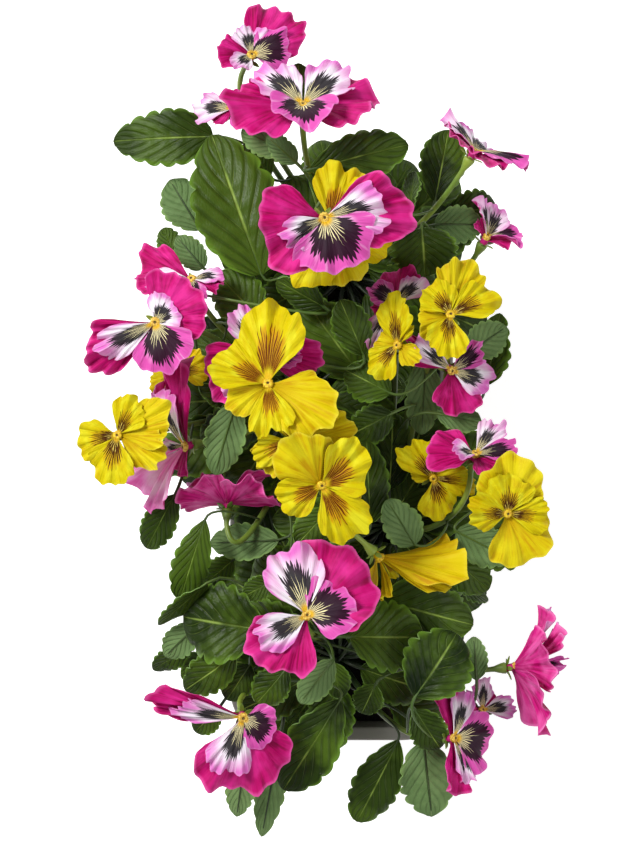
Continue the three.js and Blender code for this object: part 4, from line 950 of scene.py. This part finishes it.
STEM_PICK, TOP_PICK, BACK_PICK, STALK_PICK = range(4)
for bush, crown in CROWNS.items():
    own_leaves = [leaf for leaf in leaves if leaf.bush == bush]
    stems = [crown_part(crown)]
    for bloom in blooms:
        if bloom.bush == bush:
            stems.extend(stem_parts(bloom))
    stalks = [stalk_part(leaf) for leaf in own_leaves]
    picks = [STEM_PICK] * sum(len(faces) for _, faces in stems)
    picks.extend([STALK_PICK] * sum(len(faces) for _, faces in stalks))
    parts = [*stems, *stalks]
    laid = [np.zeros((sum(len(points) for points, _ in parts), 2))]
    for leaf in own_leaves:
        steps, columns = (LOW_STEPS, LOW_COLUMNS) if leaf.low else (LEAF_STEPS, LEAF_COLUMNS)
        points, faces, uv = lobed_blade(leaf, steps, columns)
        parts.append((points, faces))
        laid.append(uv)
        half = (steps - 1) * (columns - 1)
        picks.extend([TOP_PICK] * half + [BACK_PICK] * (len(faces) - half))
    points, faces = stack(parts)
    finishes = [stem_green, leaf_top, leaf_back, stalk_green]
    greenery = make_piece(f"greenery_{bush}", points, faces, finishes, crease=75)
    lay_and_pick(greenery, "laid", np.vstack(laid), picks)
    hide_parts(f"bush_{bush}")

# The blooms: petals cut from dyed cloth and pressed with creases, three in front and two behind,
# heat-set into a ruffle at the edge. A moulded yellow throat holds them on the stem.
PETAL_THICKNESS = 0.4
PETAL_ROWS = 15
PETAL_COLUMNS = 52
PETAL_OVERLAP = 1.06

# The lip, two side petals and two back petals: the layer each lies in, how it dishes forward and
# how its edge turns back.
PETAL_FORMS = [
    (0.8, 0.45, 0.3), (0.3, 0.45, 0.3), (-0.2, 0.45, 0.3), (-1.3, 0.27, 0.2), (-1.8, 0.27, 0.2),
]

# The nicks in the edge of a petal and the waves of its ruffle, each from wide to narrow: size as
# a share of the petal, how fast it goes round the petal and which chance sets it off.
NICKS = [(0.04, 5.5, 1), (0.03, 11, 2), (0.022, 23, 3)]
RUFFLES = [(0.07, 6, 0), (0.07, 9.5, 4), (0.05, 21, 5)]

# How high two waves and three waves round a whole bloom stand, as a share of how far out they
# are, and the fine folds of a petal, as a share of its length.
TWO_WAVES = 0.07
THREE_WAVES = 0.06
FINE_FOLDS = 0.008


def petal_part(bloom, order):
    """A petal: u goes from its foot to its edge, v across it. Layers lie apart on the hub."""
    way, length, spread, close = bloom.petals[order]
    layer, dish, turn_back = PETAL_FORMS[order]
    seed = 5 * bloom.index + order
    chance = [FULL_TURN * float(scatter(seed + 0.37 * k)) for k in range(7)]
    u = np.linspace(0.05, 1.0, PETAL_ROWS)[:, None]
    w = np.linspace(-1.0, 1.0, PETAL_COLUMNS)[None, :]
    v = 0.6 * w + 0.4 * np.sin(math.pi * w / 2)
    edge = 0.5 + 0.5 * np.cos(math.pi * v / 2).clip(0) ** 0.4
    edge = edge * (1 + 0.08 * np.sin(2.6 * v + FULL_TURN * float(scatter(seed + 0.5))))
    nicks = sum(size * np.sin(speed * v + chance[which]) for size, speed, which in NICKS)
    reach = u * length * edge * (1 + nicks * u**3)
    part = reach / length
    opened = 0.78 + 0.22 * u**0.7
    angle = np.radians(way + PETAL_OVERLAP * spread * opened * v)
    start = 2.4 * bloom.index
    bloom_wave = TWO_WAVES * np.sin(2 * angle + start) + THREE_WAVES * np.sin(3 * angle - start)
    waves = sum(size * np.sin(speed * v + chance[which]) for size, speed, which in RUFFLES)
    ruffle = length * part**3 * waves
    folds = FINE_FOLDS * length * (
        np.sin(13 * v + 3.5 * u + chance[6]) * np.sin(math.pi * part.clip(0, 1)) ** 0.8
    )
    height = length * (dish * part - turn_back * part**2) + bloom_wave * reach + ruffle + folds
    lift = math.radians(close)
    out = reach * math.cos(lift) - height * math.sin(lift)
    up = reach * math.sin(lift) + height * math.cos(lift) + layer
    places = np.stack([out * np.cos(angle), out * np.sin(angle), up + 0 * angle], -1)
    points, faces = closed_sheet(bloom.from_face(places), PETAL_THICKNESS)
    laid = np.stack([seed + 0.5 + HALF_LAID * v + 0 * u, u + 0 * v], -1).reshape(-1, 2)
    return points, faces, np.vstack([laid, laid])


THROAT_SIDES = 20
THROAT_RIB = 0.07
THROAT_FULL_LENGTH = 45
HUB_RADIUS = 2.2
HUB_TOP = -2.0
HUB_RINGS = 2
PIT_RINGS = 1
PIT_DEPTH = 1.2

# The throat of a full-size bloom from its foot to its pit: radius and height over the petals.
THROAT_FOOT = (2.3, -0.6)
THROAT_DOME = [(3.2, 1.1), (2.9, 1.9), (2.1, 2.3), (0.9, 2.2), (0.4, 1.7)]


def throat_part(bloom):
    """The throat: a low ribbed dome round a small pit, on the hub behind the petals."""
    size = 0.5 + 0.5 * max(petal[1] for petal in bloom.petals) / THROAT_FULL_LENGTH
    profile = [(HUB_RADIUS, HUB_BACK), (HUB_RADIUS, HUB_TOP), THROAT_FOOT]
    profile += [(radius * size, height) for radius, height in THROAT_DOME]
    turns = 2 * math.pi * np.arange(THROAT_SIDES) / THROAT_SIDES
    rings = []
    for radius, height in profile:
        ribbed = radius * (1 + THROAT_RIB * np.cos(turns * THROAT_SIDES / 2))
        ring = np.stack([ribbed * np.cos(turns), ribbed * np.sin(turns), 0 * turns + height], -1)
        rings.append(bloom.from_face(ring))
    start = bloom.from_face([0, 0, HUB_BACK])
    end = bloom.from_face([0, 0, PIT_DEPTH])
    return skin_rings(rings, start, end)


def start_petal(name):
    """Woven cloth: where a place lies on its petal, and the creases that it was pressed with."""
    finish, shader = start_finish(name, Roughness=0.6, Specular_IOR_Level=0.12)
    v, u, x = across_and_along(shader, "petal")
    creases = streaks(x, u, 26.0, 1.3, 3.0)
    weave = mottle(object_place(shader), 1400.0, 1.0)
    crimp = streaks(x, u, 70.0, 3.0) * between(u, 0.4, 1.0)
    roughen(shader, creases + weave * 0.1 + crimp * 0.6, 1.3, 0.8)
    return finish, shader, v, u, x, creases


def plain_petal(name, deep, body, light, edge_colour):
    """Cloth dyed in one colour, with painted shade in its creases and towards its foot, painted
    highlights on the crease ridges and painted light in broad soft patches.
    """
    finish, shader, _, u, x, creases = start_petal(name)
    cloud = streaks(x, u, 4.0, 2.2, 3.0)
    # Painted shade in the creases, then painted highlights on their ridges.
    colour = tint(between(creases, 0.36, 0.54), deep, body)
    colour = tint(between(creases, 0.54, 0.74, 0.0, 0.6), colour, light)
    # Painted light in broad soft patches.
    colour = tint(between(cloud, 0.4, 0.68, 0.0, 0.85), colour, light)
    # Painted shade towards the foot.
    colour = tint(between(u, 0.1, 0.6, 0.6, 0.0), colour, deep)
    colour = tint(between(u, 0.94, 1.0, 0.0, 0.5), colour, edge_colour)
    colour.into(shader, "Base Color")
    return finish


def rays(x, v, u, count, stray):
    """Rays that fan out over a petal: how far off its ray a place is, and that ray's chance."""
    across = v * count + streaks(x, u, 7.0, 3.0) * stray
    own = knot(x.tree, "CombineXYZ", {0: across.reckon("FLOOR"), 1: x.reckon("FLOOR")})
    chance = knot(x.tree, "TexWhiteNoise", {"Vector": own}, noise_dimensions="3D")
    return abs(across.reckon("FRACT") - 0.5), chance


def past_ray(u, side, reach, pinch, chance, share):
    """How far past the end of its ray a place is; the rays are shorter towards the sides."""
    return u - (side**2.6 * -pinch + reach - chance * share)


BLACK_DYE = dye(12, 8, 12)
GREY_DYE = dye(48, 38, 46)
CREAM = dye(238, 226, 172)
GOLD = dye(226, 178, 44)
YELLOW = dye(196, 180, 4)
# The yellow of painted shade on the yellow petals, and after it the yellow of painted light.
PAINTED_SHADE_YELLOW = dye(180, 144, 0)
PAINTED_LIGHT_YELLOW = dye(204, 196, 34)
SPOT_BROWN = dye(62, 26, 8)
STRAW = dye(228, 204, 96)


def blotched_petal(name, foot, body, edge_colour, turn_low, turn_high, reach, pinch):
    """Cloth with a dark feathered blotch, pale whiskers over it and a golden foot, with painted
    shade in its creases and painted highlights on their ridges.
    """
    finish, shader, v, u, x, creases = start_petal(name)
    side = abs(v)
    cloud = streaks(x, u, 2.6, 1.4) * 1.3
    colour = tint(between(u + cloud, turn_low, turn_high), foot, body)
    # Painted shade in the creases, then painted highlights on their ridges.
    colour = tint(between(creases, 0.3, 0.5, 0.4, 0.0), colour, body)
    colour = tint(between(creases, 0.54, 0.7, 0.0, 0.4), colour, foot)
    colour = tint(between(u, 0.94, 1.0, 0.0, 0.5), colour, edge_colour)
    off, chance = rays(x, v, u, 13.0, 1.2)
    past = past_ray(u, side, reach, pinch, chance, 0.16) + off * 0.22
    downy = streaks(x, u, 70.0, 4.0)
    blotch = tint(between(downy, 0.55, 0.72, 0.0, 0.4), BLACK_DYE, GREY_DYE)
    colour = tint(between(past, -0.012, 0.02, 0.96, 0.0), colour, blotch)
    off, chance = rays(x, v, u, 8.0, 1.6)
    past = past_ray(u, side, 0.62, 0.3, chance, 0.3)
    whisker = between(between(u, 0.1, 0.6, 0.3, 0.03) - off, 0.0, 0.05)
    colour = tint(whisker * between(past, -0.05, 0.02, 1.0, 0.0), colour, CREAM)
    colour = tint(between(u, 0.1, 0.2, 1.0, 0.0), colour, GOLD)
    colour.into(shader, "Base Color")
    return finish


def lined_petal(name, ground, line, reach, spotted):
    """Yellow cloth with painted shade in its creases, painted light and painted shade in broad soft
    patches, and brown lines that fan out; the spotted one has a dark spot and whiskers.
    """
    finish, shader, v, u, x, creases = start_petal(name)
    side = abs(v)
    cloud = streaks(x, u, 4.5, 3.0, 3.0)
    # Painted shade in the creases, then painted light and painted shade in broad soft patches.
    colour = tint(between(creases, 0.3, 0.5, 0.4, 1.0), PAINTED_SHADE_YELLOW, YELLOW)
    colour = tint(between(cloud, 0.48, 0.66), colour, PAINTED_LIGHT_YELLOW)
    colour = tint(between(cloud, 0.34, 0.46, 0.45, 0.0), colour, PAINTED_SHADE_YELLOW)
    _, chance = rays(x, v, u, 13.0, 1.8)
    past = past_ray(u, side, reach, 0.62, chance, 0.16)
    shown = between(u, 0.12, 0.24, 0.0, 0.75) * between(past, -0.1, 0.0, 1.0, 0.0)
    colour = tint(shown, colour, ground)
    for count, width, length in ((9.0, 0.3, reach), (16.0, 0.25, 0.85 * reach)):
        off, chance = rays(x, v, u, count, 1.8)
        past = past_ray(u, side, length, 0.62, chance, 0.2)
        drawn = between(between(u, 0.2, 0.7, width, 0.1) - off, -0.03, 0.04)
        drawn = drawn * between(past, -0.04, 0.02, 1.0, 0.0) * between(u, 0.12, 0.24)
        colour = tint(drawn, colour, line)
    if spotted:
        past = past_ray(u, side, 0.42, 0.3, chance, 0.12)
        colour = tint(between(past, -0.05, 0.03, 0.85, 0.0), colour, SPOT_BROWN)
        off, chance = rays(x, v, u, 4.0, 1.4)
        past = past_ray(u, side, 0.34, 0.1, chance, 0.12)
        whisker = between(0.15 - off, 0.0, 0.06) * between(past, -0.04, 0.02, 0.85, 0.0)
        colour = tint(whisker, colour, STRAW)
    colour = tint(between(u, 0.1, 0.18, 0.8, 0.0), colour, GOLD)
    colour.into(shader, "Base Color")
    return finish


magenta_lip = blotched_petal(
    "magenta_lip", dye(224, 174, 210), dye(200, 78, 158), dye(214, 124, 186), 0.85, 1.4,
    0.95, 0.46,
)
magenta_side = blotched_petal(
    "magenta_side", dye(228, 220, 228), dye(208, 104, 182), dye(216, 142, 194), 1.2, 1.75,
    0.84, 0.66,
)
magenta_back = plain_petal(
    "magenta_back", dye(132, 0, 64), dye(172, 6, 94), dye(206, 46, 134), dye(226, 100, 172)
)
magenta_under = plain_petal(
    "magenta_under", dye(158, 12, 88), dye(204, 32, 126), dye(228, 100, 172), dye(236, 146, 202)
)
magenta_pale = plain_petal(
    "magenta_pale", dye(220, 80, 166), dye(236, 132, 200), dye(244, 196, 226), dye(226, 104, 182)
)
fanned_front = lined_petal("fanned_front", dye(180, 124, 10), dye(98, 44, 6), 0.76, False)
spotted_front = lined_petal("spotted_front", dye(188, 146, 4), dye(66, 28, 8), 0.74, True)
yellow_back = plain_petal(
    "yellow_back", dye(182, 142, 0), dye(196, 174, 4), dye(206, 192, 24), dye(214, 202, 60)
)
yellow_under = plain_petal(
    "yellow_under", dye(180, 134, 0), dye(194, 164, 4), dye(204, 184, 18), dye(212, 196, 50)
)


def grainy(name, dark, pale):
    """The moulded throat, pale on its grains."""
    finish, shader = start_finish(name, Roughness=0.6)
    grain = mottle(object_place(shader), 900.0, 3.0)
    tint(between(grain, 0.4, 0.65), dark, pale).into(shader, "Base Color")
    roughen(shader, grain, 0.4, 0.8)
    return finish


throat_gold = grainy("throat_gold", dye(176, 126, 26), dye(226, 196, 84))
throat_yellow = grainy("throat_yellow", dye(190, 146, 8), dye(224, 196, 30))
throat_pit = grainy("throat_pit", dye(74, 54, 12), dye(120, 94, 24))

# Which blooms have lines with no spot, and which have a lip with no blotch.
FANNED_BLOOMS = ("y01", "y02", "y03", "y10", "y11")
PALE_LIPS = ("m10",)

# The finishes of a bloom, in order. Each petal picks one for its front, and all have one behind.
LIP_PICK, SIDE_PICK, OUTER_PICK, UNDER_PICK, THROAT_PICK, PIT_PICK = range(6)
PETAL_PICKS = [LIP_PICK, SIDE_PICK, SIDE_PICK, OUTER_PICK, OUTER_PICK]


def bloom_finishes(bloom):
    if bloom.kind == "magenta":
        lip = magenta_pale if bloom.name in PALE_LIPS else magenta_lip
        return [lip, magenta_side, magenta_back, magenta_under, throat_gold, throat_pit]
    front = fanned_front if bloom.name in FANNED_BLOOMS else spotted_front
    return [front, front, yellow_back, yellow_under, throat_yellow, throat_pit]


for bloom in blooms:
    parts, laid, picks = [], [], []
    for order, front in enumerate(PETAL_PICKS):
        points, faces, uv = petal_part(bloom, order)
        parts.append((points, faces))
        laid.append(uv)
        half = (PETAL_ROWS - 1) * (PETAL_COLUMNS - 1)
        picks.extend([front] * half + [UNDER_PICK] * half + [front] * (len(faces) - 2 * half))
    points, faces = throat_part(bloom)
    parts.append((points, faces))
    laid.append(np.zeros((len(points), 2)))
    dome_rings = len(faces) // THROAT_SIDES - 2 - HUB_RINGS - PIT_RINGS
    picks.extend([UNDER_PICK] * HUB_RINGS * THROAT_SIDES)
    picks.extend([THROAT_PICK] * dome_rings * THROAT_SIDES)
    picks.extend([PIT_PICK] * PIT_RINGS * THROAT_SIDES)
    picks.extend([UNDER_PICK, PIT_PICK] * THROAT_SIDES)
    points, faces = stack(parts)
    pansy = make_piece(f"pansy_{bloom.name}", points, faces, bloom_finishes(bloom), crease=75)
    lay_and_pick(pansy, "petal", np.vstack(laid), picks)
    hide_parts(f"bloom_{bloom.name}")

# The studio: a plain white floor, a bright soft lamp and a weaker one across from it, both above
# the planter, and pale light all round. The camera looks straight down from 1.5 m.
FLOOR_HALF = 6.0
FLOOR_GLOW = 0.52
SKY_STRENGTH = 0.4
LAMP_AIM = (0, 0, 0.2)
CAMERA_LENS = 89.35
CAMERA_SENSOR = 36.0

floor_white = start_finish(
    "floor_white", Roughness=0.9, Base_Color=(0.9, 0.9, 0.9, 1),
    Emission_Color=(1, 1, 1, 1), Emission_Strength=FLOOR_GLOW,
)[0]
corners = [(-1, -1), (1, -1), (1, 1), (-1, 1)]
floor_points = [(x * FLOOR_HALF, y * FLOOR_HALF, 0) for x, y in corners]
floor_mesh = bpy.data.meshes.new("studio_floor")
floor_mesh.from_pydata(floor_points, [], [(0, 1, 2, 3)])
floor_mesh.materials.append(floor_white)
floor = put_in_scene("studio_floor", floor_mesh)


def lamp(name, place, size, watts):
    light = bpy.data.lights.new(name, "AREA")
    light.shape = "DISK"
    light.size = size
    light.energy = watts
    holder = put_in_scene(name, light)
    holder.location = place
    holder.rotation_mode = "QUATERNION"
    aim = Vector(LAMP_AIM) - Vector(place)
    holder.rotation_quaternion = aim.to_track_quat("-Z", "Y")


lamp("left_lamp", (-1.3, 1.0, 1.9), 0.8, 62)
lamp("right_lamp", (1.4, -0.7, 1.9), 1.2, 18)

world = bpy.data.worlds.new("pale_room")
world.use_nodes = True
sky = world.node_tree.nodes["Background"]
sky.inputs["Color"].default_value = (1, 1, 1, 1)
sky.inputs["Strength"].default_value = SKY_STRENGTH
bpy.context.scene.world = world
bpy.context.scene.view_settings.view_transform = "Standard"

camera_data = bpy.data.cameras.new("camera")
camera_data.sensor_fit = "VERTICAL"
camera_data.sensor_height = CAMERA_SENSOR
camera_data.sensor_width = CAMERA_SENSOR
camera_data.lens = CAMERA_LENS
camera = put_in_scene("camera", camera_data)
camera.location = EYE * MM
bpy.context.scene.camera = camera
